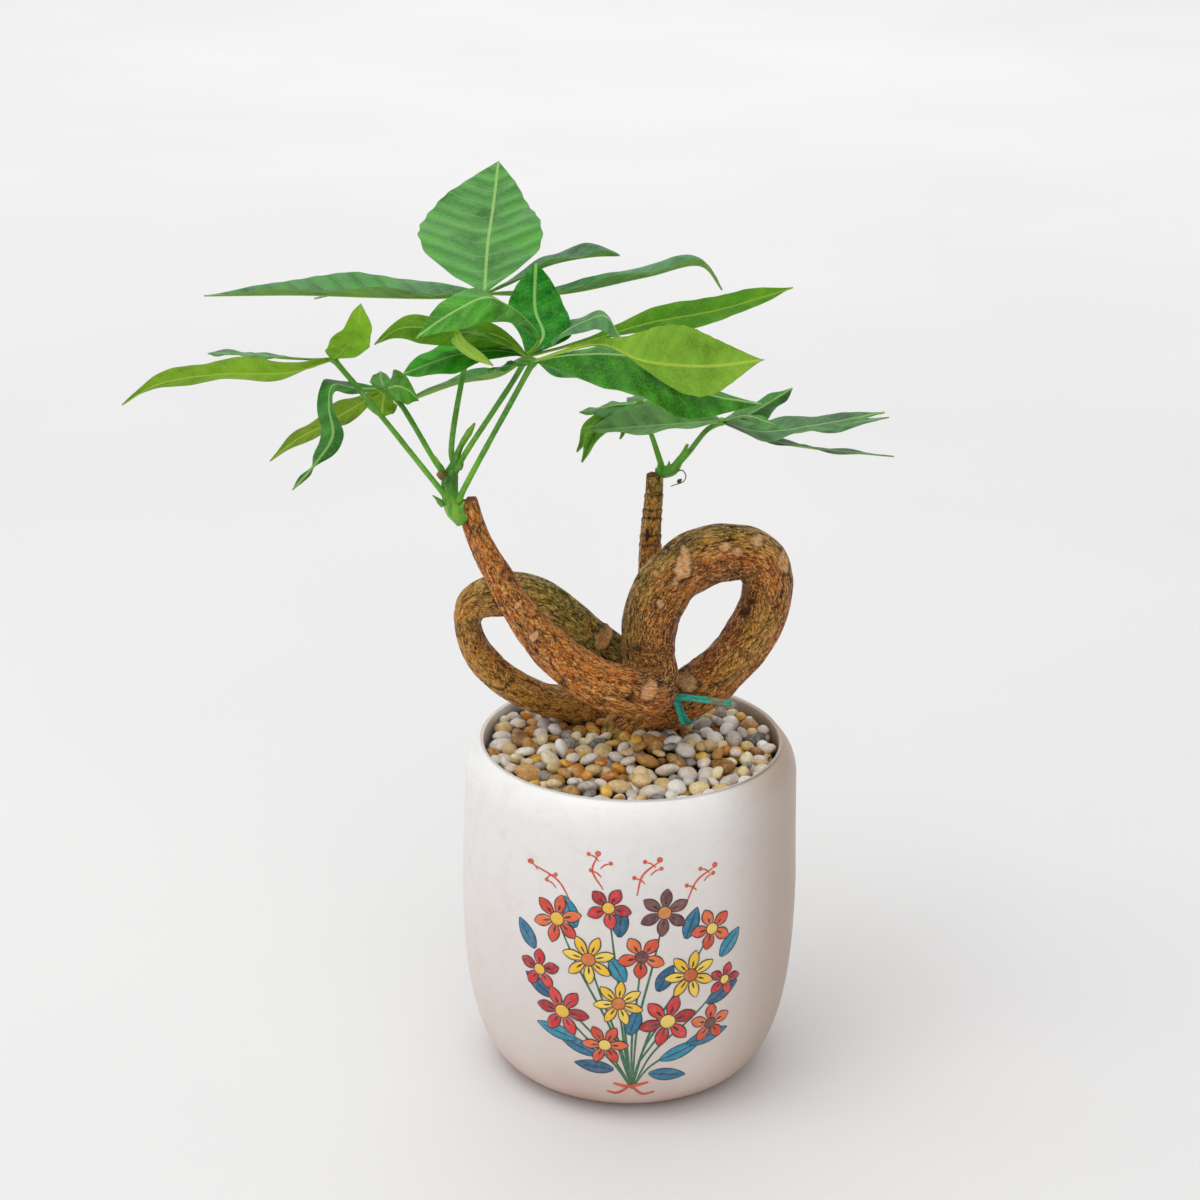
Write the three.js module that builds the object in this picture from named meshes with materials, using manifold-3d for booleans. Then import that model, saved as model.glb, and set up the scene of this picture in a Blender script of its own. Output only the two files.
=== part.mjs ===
// A potted money tree: two young stems, each bent into a loop and tied where they cross, in a rounded
// ceramic pot. Pebbles lie on the soil, and a crown of palmate leaves grows at the end of each stem.
// Millimetres, +Z up. The origin is the middle of the pot's foot, where it stands. The front is -Y.
import * as THREE from 'three';
import { mergeVertices } from 'three/addons/utils/BufferGeometryUtils.js';
import Module from 'manifold-3d';

const wasm = await Module();
wasm.setup();

// Driving dimensions.

const gap = 0.35; // room left between pieces that touch

const potSize = {
  height: 130,
  radius: 62.5, // widest, above the rounded belly
  rimRadius: 61.3, // where the shoulder starts to turn in
  footRadius: 36,
  bellyHeight: 76,
  bellyPower: 2.73, // 2 is an ellipse, more is squarer
  shoulderHeight: 12.7,
  shoulderDepth: 8.8,
  mouthRadius: 54.5,
  innerRadius: 56,
  floorThickness: 9,
  innerFootRadius: 30,
  drainRadius: 4,
  drainOffset: 17,
  drainCount: 3,
  drainSides: 12,
  profileCrowding: 1.4, // over 1 the belly's rows lie closer where it turns fastest
  outerRows: 8,
  innerRows: 5,
  lipDrop: 1.2, // from the top of the rim to the straight part of the mouth
  mouthDepth: 10,
  sides: 36,
};

const soilSize = { top: 114, sides: 24, wallGap: 1.2 };

const pebbleSize = {
  bedTop: 124.2, // level of the bed that the pebbles are sunk in
  bedRise: 2.8, // how much higher the bed lies at the back than in the middle
  bedDome: 1.2,
  bedRadius: 53.9,
  bedSides: 24,
  spacing: 10.2,
  scatter: 1.8, // how far off its place in the rows a pebble may lie
  reach: 49.4, // furthest pebble from the pot's axis
  length: [4.7, 5.7], // half sizes, shortest and longest
  width: [4, 4.7],
  height: [2.9, 3.4],
  tilt: 1.2, // radians between the pebbles that lean most to either side
  sink: 0.15, // part of its half height that a pebble's middle lies above the bed
  seed: 41,
};

const stemSize = { sides: 10, stepLength: 5.4 };

// Stations of the two stems, from the root end in the soil: x, y, z and the radius there.
const rightLoopStations = [
  [-5, 11, 98, 5.6],
  [-5, 11, 117, 6],
  [-5, 11, 126, 6.2],
  [0, 11, 132.5, 7.6],
  [11, 10, 138, 8.9],
  [24, 9, 145, 9.2],
  [36, 8, 156.5, 9.4],
  [44.5, 7.5, 169.5, 9.2],
  [48.5, 7, 180, 8.9],
  [48.5, 6, 190, 8.8],
  [44, 5.5, 198, 9.4],
  [32, 4, 200.7, 10.3],
  [20.5, 4, 196, 10.6],
  [12, 4, 188, 10.7],
  [6.5, 4, 174.5, 10.4],
  [6.5, 3, 161.5, 9.8],
  [7.5, -6, 153, 9.2],
  [3, -15.5, 153.3, 9.2],
  [-4.5, -19, 156.2, 9.2],
  [-15, -20, 160.6, 8.6],
  [-28, -19, 171.3, 7.6],
  [-40, -18, 185.3, 5.9],
  [-48, -17, 199, 4.9],
  [-54.4, -16, 211.5, 4.3],
  [-59, -15, 225.5, 3.9],
];
const leftLoopStations = [
  [-14, 25, 98, 5.8],
  [-14, 25, 118, 6.2],
  [-15, 24, 127, 6.6],
  [-22, 21, 133.3, 6.7],
  [-33, 17, 137.3, 6.3],
  [-46.5, 14, 145.7, 6.4],
  [-52.5, 13, 151.5, 6.2],
  [-57.5, 12, 158.8, 5.8],
  [-60.3, 10.5, 170, 5.1],
  [-58, 9, 177.8, 6.3],
  [-52.5, 8, 181.2, 7.3],
  [-43, 7, 182.8, 8.2],
  [-28.5, 8, 175.5, 8.6],
  [-15, 13, 161.5, 8.4],
  [-3.5, 20.5, 151, 8.1],
  [5, 27.5, 151.5, 7],
  [8, 28.5, 162, 5.8],
  [7, 28, 176, 4.8],
  [6.5, 27, 189, 4.3],
  [6.7, 27, 201, 3.7],
  [7.5, 27, 213, 3.3],
  [7.8, 27, 222.3, 3.1],
];

const tieSize = {
  place: [18.5, 9.5, 141.9], // the middle of the stem where the loop of the tie goes round
  along: [12, -1, 5], // the stem's direction there
  ringRadius: 11,
  ringWidth: 2.4,
  thickness: 1.1,
  knot: [15.2, -0.6, 146.1],
  knotSize: [3.4, 2.6, 4.2],
  longEnd: [[15.4, -1.4, 146.4], [24, -2.4, 146], [36.6, -2.2, 144.2]],
  hangingEnd: [[16, -1.6, 145.4], [17.4, -3.4, 141], [18.9, -4, 136.2]],
  endWidth: 2.6,
};

const shootSize = { sides: 8 };

// Stations of the green shoots: x, y, z, radius.
const leftShootStations = [
  [-60, -17, 219, 3],
  [-62.8, -17.5, 223, 3.3],
  [-64.4, -17, 229, 3],
  [-64.3, -16.2, 235, 2.7],
  [-62.8, -16, 239.5, 1.6],
  [-60.6, -17, 246, 1.1],
  [-57.6, -18.2, 251.5, 1.4],
  [-55.6, -19, 255, 0.6],
];
const rightShootStations = [
  [8.4, 26.8, 222.8, 2],
  [11, 26.3, 223.6, 2.2],
  [14.2, 25, 225.2, 2],
  [17.2, 24.2, 230.2, 1.2],
  [19.4, 24, 235, 0.6],
];

const leafSize = {
  stationLength: 9.5, // between the rows of corners along a leaflet
  stations: [4, 8], // fewest and most of them
  crowding: 0.92, // under 1 the rows lie a little closer at the base
  narrow: 13, // a leaflet less wide than this has one strip each side of its rib, others have two
  halfThickness: 0.42,
  ribThickness: 1.3, // times as thick at the rib
  baseHalfWidth: 1.1,
  tipHalfWidth: 0.5,
  roundness: 0.86, // of the outline, less is fuller
  wave: 0.8, // rise and fall of the edges
  waves: 2.5,
  waveShift: 0.3, // of a wave, between the two edges
  twist: [0.2, 0.8], // where a twisting leaflet starts and stops to turn, if its own values don't say
  petioleSides: 6,
  petioleBase: 1.2,
  petioleTop: 0.9,
  hubRadius: 2.1,
};

// Each leaf: where its hub is, the route of its petiole from the shoot, and its leaflets. A leaflet has the
// points of its rib, measured from the hub and going out to the tip, and how far its left and its right edge
// stand off the rib at the widest place, seen from the hub with the top face up. tipLeft and tipRight say
// the same near the tip of a leaflet that twists, and twist where it starts and stops to turn.
const leaves = {
  left_leaf_west: {
    hub: [-105, -6, 274],
    petiole: [[-64, -19, 226], [-67, -19, 230], [-90, -18, 260]],
    leaflets: [
      {
        rib: [[-15, -2, -4], [-40, -6, -4], [-60, -9, -7], [-72, -11, -14]],
        left: [1, -8, 7], right: [-1, 8, -5], widest: 0.45,
      },
      {
        rib: [[-16, 8, -2], [-35, 20, -4], [-48, 28, -6]],
        left: [1, -8, 1], right: [0, 8, -1], widest: 0.75,
      },
      {
        rib: [[7, -14, 9], [11, -22, 17], [13, -30, 27]],
        left: [7, -6, 0], right: [-6, -5, 2], widest: 0.4,
      },
    ],
  },
  left_leaf_drooping: {
    hub: [-88, 2, 261],
    petiole: [[-65, -16, 235], [-68, -14, 237], [-82, -4, 257]],
    leaflets: [
      {
        rib: [[-10, -6, 2], [-17, -12, 4.5], [-18, -16, -2], [-17, -17, -12], [-23, -16, -22], [-32, -14, -33]],
        left: [1, -7, -1], right: [-4, 5, 2], tipLeft: [5, 4, -1], tipRight: [-5, 4, -1], widest: 0.48,
      },
      {
        rib: [[-10, 2, -6], [-23, 6, -15], [-33, 8, -21], [-43, 10, -30]],
        left: [-1, -6, 5], right: [1, 5, -5], widest: 0.4,
      },
      { rib: [[5, -7, 3], [9, -12, 3], [13, -17, 1]], left: [-1, 7, 4], right: [0, -8, -3], widest: 0.5 },
      { rib: [[-1, 2, -5], [-2, 6, -12]], left: [-6, -2, 1], right: [5, -1, -1], widest: 0.55 },
      { rib: [[-2, 8, 1], [-3, 16, 2]], left: [-4, -3, 0], right: [5, -4, 0], widest: 0.45 },
    ],
  },
  left_leaf_top: {
    hub: [-53, 5, 295],
    petiole: [[-63, -15, 239], [-64, -14, 243], [-59, -5, 274]],
    leaflets: [
      {
        rib: [[0, 26, 11], [1, 50, 20], [2, 75, 32]],
        left: [-26, 0, -1], right: [22, 3, 0], tipRight: [14, 5, 0], widest: 0.49, roundness: 1,
      },
      {
        rib: [[-15, 2, -2], [-36, 2, -2], [-64, 0, -1], [-97, -3, -1]],
        left: [1, -10, 5], right: [-1, 12, 5], widest: 0.42, roundness: 1.2,
      },
      {
        rib: [[-16, 17, -4], [-42, 27, -5], [-63, 31, -10]],
        left: [1, -8, 1], right: [-1, 8, -1], widest: 0.5,
      },
      {
        rib: [[9, 4, 3], [22, 10, 8], [37, 15, 10], [47, 17, 10]],
        left: [0, 10, 2], right: [0, -8, 3], widest: 0.68, roundness: 0.66,
      },
      {
        rib: [[26, 1, 0], [56, -2, 7], [75, -7, 12], [82, -13, 5]],
        left: [0, 9, 2], right: [0, -9, 4], widest: 0.6, roundness: 0.72,
      },
    ],
  },
  left_leaf_inner: {
    hub: [-37, -26, 281],
    petiole: [[-62.4, -17, 237], [-60.6, -18, 241], [-42.5, -24, 271]],
    leaflets: [
      { rib: [[5, 7, 5], [2, 17, 12], [2, 26, 26]], left: [-10, 2, -1], right: [11, 0, -1], widest: 0.5 },
      {
        rib: [[4, -1, 6], [-1, -6, 15], [-7, -12, 21], [-13, -16, 24], [-25, -20, 19], [-36, -24, 12]],
        left: [-1, -10, -3], right: [-2, 10, -5], tipLeft: [-2, -10, -7], tipRight: [-6, 9, 3],
        widest: 0.56, roundness: 1.2,
      },
      {
        rib: [[-9, 0, 7], [-25, 0, 9], [-43, 2, 9], [-52, 2, 3]],
        left: [1, -10, 7], right: [-1, 7, -8], widest: 0.5,
      },
      {
        rib: [[-10, 2, 1], [-24, 4, -1], [-43, 8, -9]],
        left: [2, -11, -2], right: [-3, 11, 2], widest: 0.6,
      },
      {
        rib: [[10, 8, 5], [19, 12, 9], [26, 12, 11], [32, 5, 4]],
        left: [-2, 8, 0], right: [-4, -7, -3], widest: 0.55,
      },
      {
        rib: [[20, 18, 1], [41, 28, 5], [66, 36, 8], [92, 44, 14]],
        left: [1, 8, -7], right: [-2, -8, 7], widest: 0.68, roundness: 1.2,
      },
      {
        rib: [[-11, 18, -12], [-25, 30, -18], [-47, 40, -29]],
        left: [0, -7, 3], right: [0, 9, 1], widest: 0.5,
      },
      {
        rib: [[10, 8, -7], [24, 14, -11], [38, 20, -15]],
        left: [0, 9, -1], right: [0, -8, 0], widest: 0.5,
      },
      {
        rib: [[-7, -8, 6], [-19, -15, 12], [-23, -18, 12], [-20, -18, 7], [-11, -16, 1]],
        left: [0, -4, 0], right: [0, 4, 0], tipLeft: [-2, 3, -3], tipRight: [2, -3, 3], widest: 0.62,
      },
    ],
  },
  left_leaf_front: {
    hub: [-35, -38, 282],
    petiole: [[-61.4, -19.6, 227], [-59, -22.6, 233], [-40.6, -34, 270.5]],
    leaflets: [
      {
        rib: [[10, -6, 4], [35, -16, 6], [55, -20, -4], [76, -20, -8]],
        left: [1, 12, 0], right: [-2, -13, -9], widest: 0.5, roundness: 1.1,
      },
      {
        rib: [[12, -6, 6], [24, -14, 10], [36, -22, 7], [57, -28, 7], [75, -31, 10]],
        left: [0, 0, -1], right: [-1, -1, 3], tipLeft: [3, 0, -14], tipRight: [-2, -1, 16],
        widest: 0.58, roundness: 1.25, twist: [0.3, 0.75], leftTwist: [0.45, 0.8],
      },
      { rib: [[-8, 3, -2], [-16, 5, -5]], left: [0, -5, 0], right: [0, 5, 0], widest: 0.5 },
    ],
  },
  right_leaf_front: {
    hub: [31, 10, 248],
    petiole: [[13.6, 25, 224.4], [19.6, 20.5, 233], [26, 14.5, 243.5]],
    leaflets: [
      {
        rib: [[-15, -4, 0], [-29, -8, 0], [-48, -14, 0]],
        left: [0, -12, 1], right: [2, 13, 6], widest: 0.5,
      },
      {
        rib: [[13, -6, -2], [34, -10, 2], [56, -14, 8]],
        left: [1, 12, 1], right: [-1, -12, 1], widest: 0.4,
      },
      {
        rib: [[21, 10, -4], [43, 14, -5], [61, 14, -2]],
        left: [1, 9, -1], right: [-1, -9, 0], widest: 0.5,
      },
      {
        rib: [[17, 8, -9], [35, 14, -14], [64, 18, -18]],
        left: [0, 6, -1], right: [0, -6, 1], widest: 0.5,
      },
      { rib: [[11, 14, -1], [27, 30, 4]], left: [-2, 9, 0], right: [4, 7, -5], widest: 0.5 },
      { rib: [[8, -10, 5], [18, -18, 4]], left: [1, 5, 0], right: [-1, -5, 0], widest: 0.5 },
    ],
  },
  right_leaf_back: {
    hub: [2, 36, 247],
    petiole: [[10.8, 27, 224], [8.6, 29.6, 230], [5.6, 33, 238]],
    leaflets: [
      { rib: [[-8, -6, 1], [-22, -16, 1]], left: [1, -9, -1], right: [1, 10, -2], widest: 0.5 },
      {
        rib: [[-10, -8, -2], [-16, -14, -7], [-21, -16, -18]],
        left: [3, -6, 1], right: [-3, -5, 3], widest: 0.5,
      },
      {
        rib: [[-11, 2, -4], [-18, 0, -11], [-23, 0, -19]],
        left: [2, -6, 0], right: [-3, -4, 3], widest: 0.5,
      },
      { rib: [[-4, 8, -9], [-7, 10, -17]], left: [2, -4, 1], right: [-2, -4, 1], widest: 0.5 },
      { rib: [[6, 26, -4], [11, 56, -6]], left: [-10, 4, -3], right: [10, 4, -3], widest: 0.5 },
    ],
  },
};

const finishes = {
  glaze: { color: 0xf1efec, roughness: 0.45, metalness: 0 },
  soil: { color: 0x3a2a1e, roughness: 0.95, metalness: 0 },
  pebbles: { color: 0xd9d2c4, roughness: 0.5, metalness: 0 },
  bark: { color: 0x7d5a34, roughness: 0.85, metalness: 0 },
  shoot: { color: 0x5a9a2c, roughness: 0.5, metalness: 0 },
  leaf: { color: 0x3f8a30, roughness: 0.45, metalness: 0 },
  tie: { color: 0x2f9c86, roughness: 0.6, metalness: 0 },
};

// Small helpers.

const vec = ([x, y, z]) => new THREE.Vector3(x, y, z);

// A repeatable stream of numbers from 0 to 1.
function seededRandom(seed) {
  let state = seed;
  return () => {
    state = (state * 1664525 + 1013904223) % 4294967296;
    return state / 4294967296;
  };
}

// Closed body from a closed geometry: corners merged, flat triangles dropped, faces turned out.
function solid(geometry) {
  const bare = geometry.index ? geometry.toNonIndexed() : geometry.clone();
  bare.deleteAttribute('normal');
  bare.deleteAttribute('uv');
  const merged = mergeVertices(bare, 1e-4);
  const position = merged.attributes.position;
  const corners = [];
  let volume = 0;
  for (let i = 0; i < merged.index.count; i += 3) {
    const [a, b, c] = [0, 1, 2].map((k) => merged.index.getX(i + k));
    if (a === b || b === c || c === a) continue;
    corners.push([a, b, c]);
    const [p, q, r] = [a, b, c].map((k) => new THREE.Vector3().fromBufferAttribute(position, k));
    volume += p.dot(q.cross(r));
  }
  const triangles = corners.map(([a, b, c]) => (volume > 0 ? [a, b, c] : [a, c, b])).flat();
  return new wasm.Manifold(new wasm.Mesh({
    numProp: 3,
    vertProperties: new Float32Array(position.array),
    triVerts: new Uint32Array(triangles),
  }));
}

// Geometry from a closed body.
function geometryOf(body) {
  const mesh = body.getMesh();
  const geometry = new THREE.BufferGeometry();
  geometry.setAttribute('position', new THREE.BufferAttribute(new Float32Array(mesh.vertProperties), 3));
  geometry.setIndex(new THREE.BufferAttribute(new Uint32Array(mesh.triVerts), 1));
  geometry.computeVertexNormals();
  return geometry;
}

const joined = (bodies) => bodies.reduce((all, next) => all.add(next));

// Turned body: profile points are [radius, height], and start and end on the axis.
function turned(profile, sides) {
  const geometry = new THREE.LatheGeometry(profile.map(([r, z]) => new THREE.Vector2(r, z)), sides);
  return geometry.rotateX(Math.PI / 2);
}

// Closed mesh over a grid of rings, each ring a list of corners, with a fan over the first and the last one.
function closedRings(rings) {
  const sides = rings[0].length;
  const corners = rings.flat();
  const faces = [];
  for (let i = 0; i < rings.length - 1; i += 1) {
    for (let j = 0; j < sides; j += 1) {
      const a = i * sides + j;
      const b = i * sides + (j + 1) % sides;
      faces.push(a, b, a + sides, b, b + sides, a + sides);
    }
  }
  [rings[0], rings[rings.length - 1]].forEach((ring, end) => {
    const middle = corners.length;
    const first = end * (rings.length - 1) * sides;
    corners.push(ring.reduce((sum, p) => sum.add(p), new THREE.Vector3()).divideScalar(sides));
    for (let j = 0; j < sides; j += 1) {
      const a = first + j;
      const b = first + (j + 1) % sides;
      faces.push(...(end ? [a, b, middle] : [b, a, middle]));
    }
  });
  const geometry = new THREE.BufferGeometry().setFromPoints(corners);
  geometry.setIndex(faces);
  return geometry;
}

// A stem that changes thickness: stations are [x, y, z, radius], and extra fattens it all over.
function stem(stations, { sides, stepLength, extra = 0 }) {
  const curve = new THREE.CatmullRomCurve3(stations.map(vec));
  const steps = Math.max(4, Math.round(curve.getLength() / stepLength));
  const frames = curve.computeFrenetFrames(steps, false);
  const rings = [];
  for (let i = 0; i <= steps; i += 1) {
    const u = i / steps;
    const centre = curve.getPointAt(u);
    const along = curve.getUtoTmapping(u) * (stations.length - 1);
    const before = Math.min(Math.floor(along), stations.length - 2);
    const [near, next] = [stations[before][3], stations[before + 1][3]];
    const radius = THREE.MathUtils.lerp(near, next, along - before) + extra;
    const ring = [];
    for (let j = 0; j < sides; j += 1) {
      const angle = 2 * Math.PI * j / sides;
      ring.push(centre.clone()
        .addScaledVector(frames.normals[i], radius * Math.cos(angle))
        .addScaledVector(frames.binormals[i], radius * Math.sin(angle)));
    }
    rings.push(ring);
  }
  return solid(closedRings(rings));
}

// Pot, soil and pebbles.

function bellyPoints(footRadius, radius, low, height, count) {
  const points = [];
  for (let i = 0; i <= count; i += 1) {
    const t = Math.PI / 2 * (1 - i / count) ** potSize.profileCrowding;
    const out = Math.cos(t) ** (2 / potSize.bellyPower);
    const up = 1 - Math.sin(t) ** (2 / potSize.bellyPower);
    points.push([footRadius + (radius - footRadius) * out, low + height * up]);
  }
  return points;
}

function buildPot() {
  const p = potSize;
  const shoulder = [0, 20, 40, 58, 72].map((degrees) => {
    const t = THREE.MathUtils.degToRad(degrees);
    return [
      p.rimRadius - p.shoulderDepth * (1 - Math.cos(t)),
      p.height - p.shoulderHeight * (1 - Math.sin(t)),
    ];
  });
  const inside = bellyPoints(p.innerFootRadius, p.innerRadius, p.floorThickness, p.bellyHeight, p.innerRows);
  const profile = [
    [0, 0],
    ...bellyPoints(p.footRadius, p.radius, 0, p.bellyHeight, p.outerRows),
    ...shoulder,
    [p.mouthRadius + 0.5, p.height],
    [p.mouthRadius, p.height - p.lipDrop],
    [p.mouthRadius + 0.4, p.height - p.mouthDepth],
    ...inside.reverse(),
    [0, p.floorThickness],
  ];
  let body = solid(turned(profile, p.sides));
  for (let i = 0; i < p.drainCount; i += 1) {
    const angle = 2 * Math.PI * i / p.drainCount;
    const depth = 3 * p.floorThickness;
    const drain = new THREE.CylinderGeometry(p.drainRadius, p.drainRadius, depth, p.drainSides);
    drain.rotateX(Math.PI / 2);
    drain.translate(p.drainOffset * Math.cos(angle), p.drainOffset * Math.sin(angle), p.floorThickness / 2);
    body = body.subtract(solid(drain));
  }
  return body;
}

function buildSoil(stems) {
  const p = potSize;
  const inside = bellyPoints(p.innerFootRadius, p.innerRadius, p.floorThickness, p.bellyHeight, p.innerRows);
  const wall = inside.map(([r, z]) => [r - 2 * gap, z + gap]);
  const profile = [
    [0, p.floorThickness + gap],
    ...wall,
    [p.innerRadius - soilSize.wallGap, soilSize.top],
    [0, soilSize.top],
  ];
  return stems.reduce((soil, one) => soil.subtract(one), solid(turned(profile, soilSize.sides)));
}

const bedHeight = (x, y) => {
  const p = pebbleSize;
  const distance = Math.hypot(x, y) / p.bedRadius;
  return p.bedTop + p.bedRise * y / p.bedRadius + p.bedDome * (1 - distance ** 2);
};

function buildPebbles(stems) {
  const p = pebbleSize;
  const random = seededRandom(p.seed);
  const between = ([low, high]) => low + (high - low) * random();
  const bottom = soilSize.top + gap;
  const rings = [0.02, 0.35, 0.7, 1].map((part) => {
    const ring = [];
    for (let j = 0; j < p.bedSides; j += 1) {
      const angle = 2 * Math.PI * j / p.bedSides;
      const x = part * p.bedRadius * Math.cos(angle);
      const y = part * p.bedRadius * Math.sin(angle);
      ring.push(new THREE.Vector3(x, y, bedHeight(x, y)));
    }
    return ring;
  });
  rings.push(rings[3].map((corner) => new THREE.Vector3(corner.x, corner.y, bottom)));
  let bed = solid(closedRings(rings));
  const rowHeight = p.spacing * Math.sqrt(3) / 2;
  const rows = Math.ceil(p.reach / rowHeight);
  for (let row = -rows; row <= rows; row += 1) {
    for (let column = -rows - 2; column <= rows + 2; column += 1) {
      const x = (column + (row % 2 ? 0.5 : 0)) * p.spacing + (random() - 0.5) * p.scatter;
      const y = row * rowHeight + (random() - 0.5) * p.scatter;
      const size = [between(p.length), between(p.width), between(p.height)];
      const turn = random() * Math.PI;
      if (Math.hypot(x, y) > p.reach) continue;
      const pebble = new THREE.IcosahedronGeometry(1, 0);
      pebble.scale(...size);
      pebble.rotateX(p.tilt * (turn / Math.PI - 0.5));
      pebble.rotateZ(turn);
      pebble.translate(x, y, bedHeight(x, y) + p.sink * size[2]);
      bed = bed.add(solid(pebble));
    }
  }
  const open = stems.reduce((all, one) => all.subtract(one), bed);
  return open.decompose().sort((a, b) => b.volume() - a.volume())[0]; // without slivers cut loose by a stem
}

// Tie.

function strip(points, width, thickness) {
  const curve = new THREE.CatmullRomCurve3(points.map(vec));
  const section = new THREE.Shape();
  section.moveTo(-thickness / 2, -width / 2);
  section.lineTo(thickness / 2, -width / 2);
  section.lineTo(thickness / 2, width / 2);
  section.lineTo(-thickness / 2, width / 2);
  return solid(new THREE.ExtrudeGeometry(section, { steps: 6, bevelEnabled: false, extrudePath: curve }));
}

function buildTie() {
  const t = tieSize;
  const upright = new THREE.Vector3(0, 0, 1);
  const turn = new THREE.Quaternion().setFromUnitVectors(upright, vec(t.along).normalize());
  const ringProfile = [
    [t.ringRadius, -t.ringWidth / 2],
    [t.ringRadius, t.ringWidth / 2],
    [t.ringRadius - t.thickness, t.ringWidth / 2],
    [t.ringRadius - t.thickness, -t.ringWidth / 2],
    [t.ringRadius, -t.ringWidth / 2],
  ];
  const ring = turned(ringProfile, 18).applyQuaternion(turn).translate(...t.place);
  const knot = new THREE.IcosahedronGeometry(0.62, 1);
  knot.scale(...t.knotSize);
  knot.translate(...t.knot);
  return joined([
    solid(ring),
    solid(knot),
    strip(t.longEnd, t.endWidth, t.thickness),
    strip(t.hangingEnd, t.endWidth - 0.6, t.thickness),
  ]);
}

// Leaves.

// Half width of a leaflet from its base (0) to its tip (1), as part of its widest.
function outline(u, widest, roundness) {
  const power = Math.log(0.5) / Math.log(widest);
  return Math.sin(Math.PI * Math.min(1, u) ** power) ** roundness;
}

// One leaflet: a thin closed blade, folded along its rib, with waved edges.
function buildLeaflet(hub, leaflet) {
  const s = leafSize;
  const { rib, left, right, tipLeft = left, tipRight = right, widest, roundness = s.roundness } = leaflet;
  const { twist = s.twist, leftTwist = twist } = leaflet;
  const curve = new THREE.CatmullRomCurve3([vec(hub), ...rib.map((point) => vec(point).add(vec(hub)))]);
  const stations = THREE.MathUtils.clamp(Math.round(curve.getLength() / s.stationLength), ...s.stations);
  const columns = vec(left).length() + vec(right).length() < s.narrow ? 2 : 4;
  const rings = [];
  for (let i = 0; i <= stations; i += 1) {
    const u = (i / stations) ** s.crowding;
    const middle = curve.getPointAt(u);
    const along = curve.getTangentAt(u);
    const wings = {
      left: vec(left).lerp(vec(tipLeft), THREE.MathUtils.smoothstep(u, ...leftTwist)),
      right: vec(right).lerp(vec(tipRight), THREE.MathUtils.smoothstep(u, ...twist)),
    };
    const ups = {
      left: along.clone().cross(wings.left).normalize(),
      right: wings.right.clone().cross(along).normalize(),
    };
    ups.middle = ups.left.clone().add(ups.right).normalize();
    const least = THREE.MathUtils.lerp(s.baseHalfWidth, s.tipHalfWidth, u);
    const top = [];
    const under = [];
    for (let j = 0; j <= columns; j += 1) {
      const across = 2 * j / columns - 1;
      const side = across < 0 ? 'left' : 'right';
      const wing = wings[side];
      const part = Math.max(outline(u, widest, roundness), least / wing.length());
      const up = across === 0 ? ups.middle : ups[side];
      const swing = Math.sin(2 * Math.PI * (s.waves * u + (across < 0 ? s.waveShift : 0)));
      const lift = s.wave * swing * across ** 2 * part;
      const place = middle.clone().addScaledVector(wing, Math.abs(across) * part).addScaledVector(up, lift);
      const half = s.halfThickness * (across === 0 ? s.ribThickness : 1);
      top.push(place.clone().addScaledVector(up, half));
      under.unshift(place.clone().addScaledVector(up, -half));
    }
    rings.push([...top, ...under]);
  }
  return solid(closedBlade(rings, columns + 1));
}

// The blade's rings are flat loops of a top row and an under row. Quads are split alike on both faces.
function closedBlade(rings, rowLength) {
  const size = 2 * rowLength;
  const corners = rings.flat();
  const faces = [];
  for (let i = 0; i < rings.length - 1; i += 1) {
    for (let j = 0; j < size; j += 1) {
      const a = i * size + j;
      const b = i * size + (j + 1) % size;
      if (j < rowLength) {
        faces.push(a, b, a + size, b, b + size, a + size);
      } else {
        faces.push(a, b, b + size, a, b + size, a + size);
      }
    }
  }
  [0, rings.length - 1].forEach((end) => {
    for (let j = 0; j < rowLength - 1; j += 1) {
      const [a, b] = [end * size + j, end * size + j + 1];
      const [c, d] = [end * size + size - 1 - j, end * size + size - 2 - j];
      faces.push(...(end ? [a, b, c, b, d, c] : [b, a, c, d, b, c]));
    }
  });
  const geometry = new THREE.BufferGeometry().setFromPoints(corners);
  geometry.setIndex(faces);
  return geometry;
}

function buildLeaf({ hub, petiole, leaflets }, shoot) {
  const s = leafSize;
  const route = [...petiole, hub];
  const stations = route.map((point, i) => {
    const part = i / (route.length - 1);
    return [...point, THREE.MathUtils.lerp(s.petioleBase, s.petioleTop, Math.sqrt(part))];
  });
  const stalk = stem(stations, { sides: s.petioleSides, stepLength: 11 });
  const knob = new THREE.IcosahedronGeometry(s.hubRadius, 0).translate(...hub);
  const blades = leaflets.map((leaflet) => buildLeaflet(hub, leaflet));
  return joined([stalk.subtract(shoot), solid(knob), ...blades]);
}

// The whole plant.

const plant = new THREE.Group();

function place(name, body, finish) {
  const mesh = new THREE.Mesh(geometryOf(body), new THREE.MeshStandardMaterial(finish));
  mesh.name = name;
  plant.add(mesh);
}

const rightLoop = stem(rightLoopStations, stemSize);
const leftLoop = stem(leftLoopStations, stemSize);
const roomForStems = [rightLoopStations, leftLoopStations]
  .map((stations) => stem(stations, { ...stemSize, extra: gap }));

const shootRoom = { sides: shootSize.sides, stepLength: 3, extra: gap };
const leftShoot = stem(leftShootStations, { ...shootRoom, extra: 0 }).subtract(roomForStems[0]);
const rightShoot = stem(rightShootStations, { ...shootRoom, extra: 0 }).subtract(roomForStems[1]);
const roomForShoots = {
  left: stem(leftShootStations, shootRoom),
  right: stem(rightShootStations, shootRoom),
};

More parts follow.
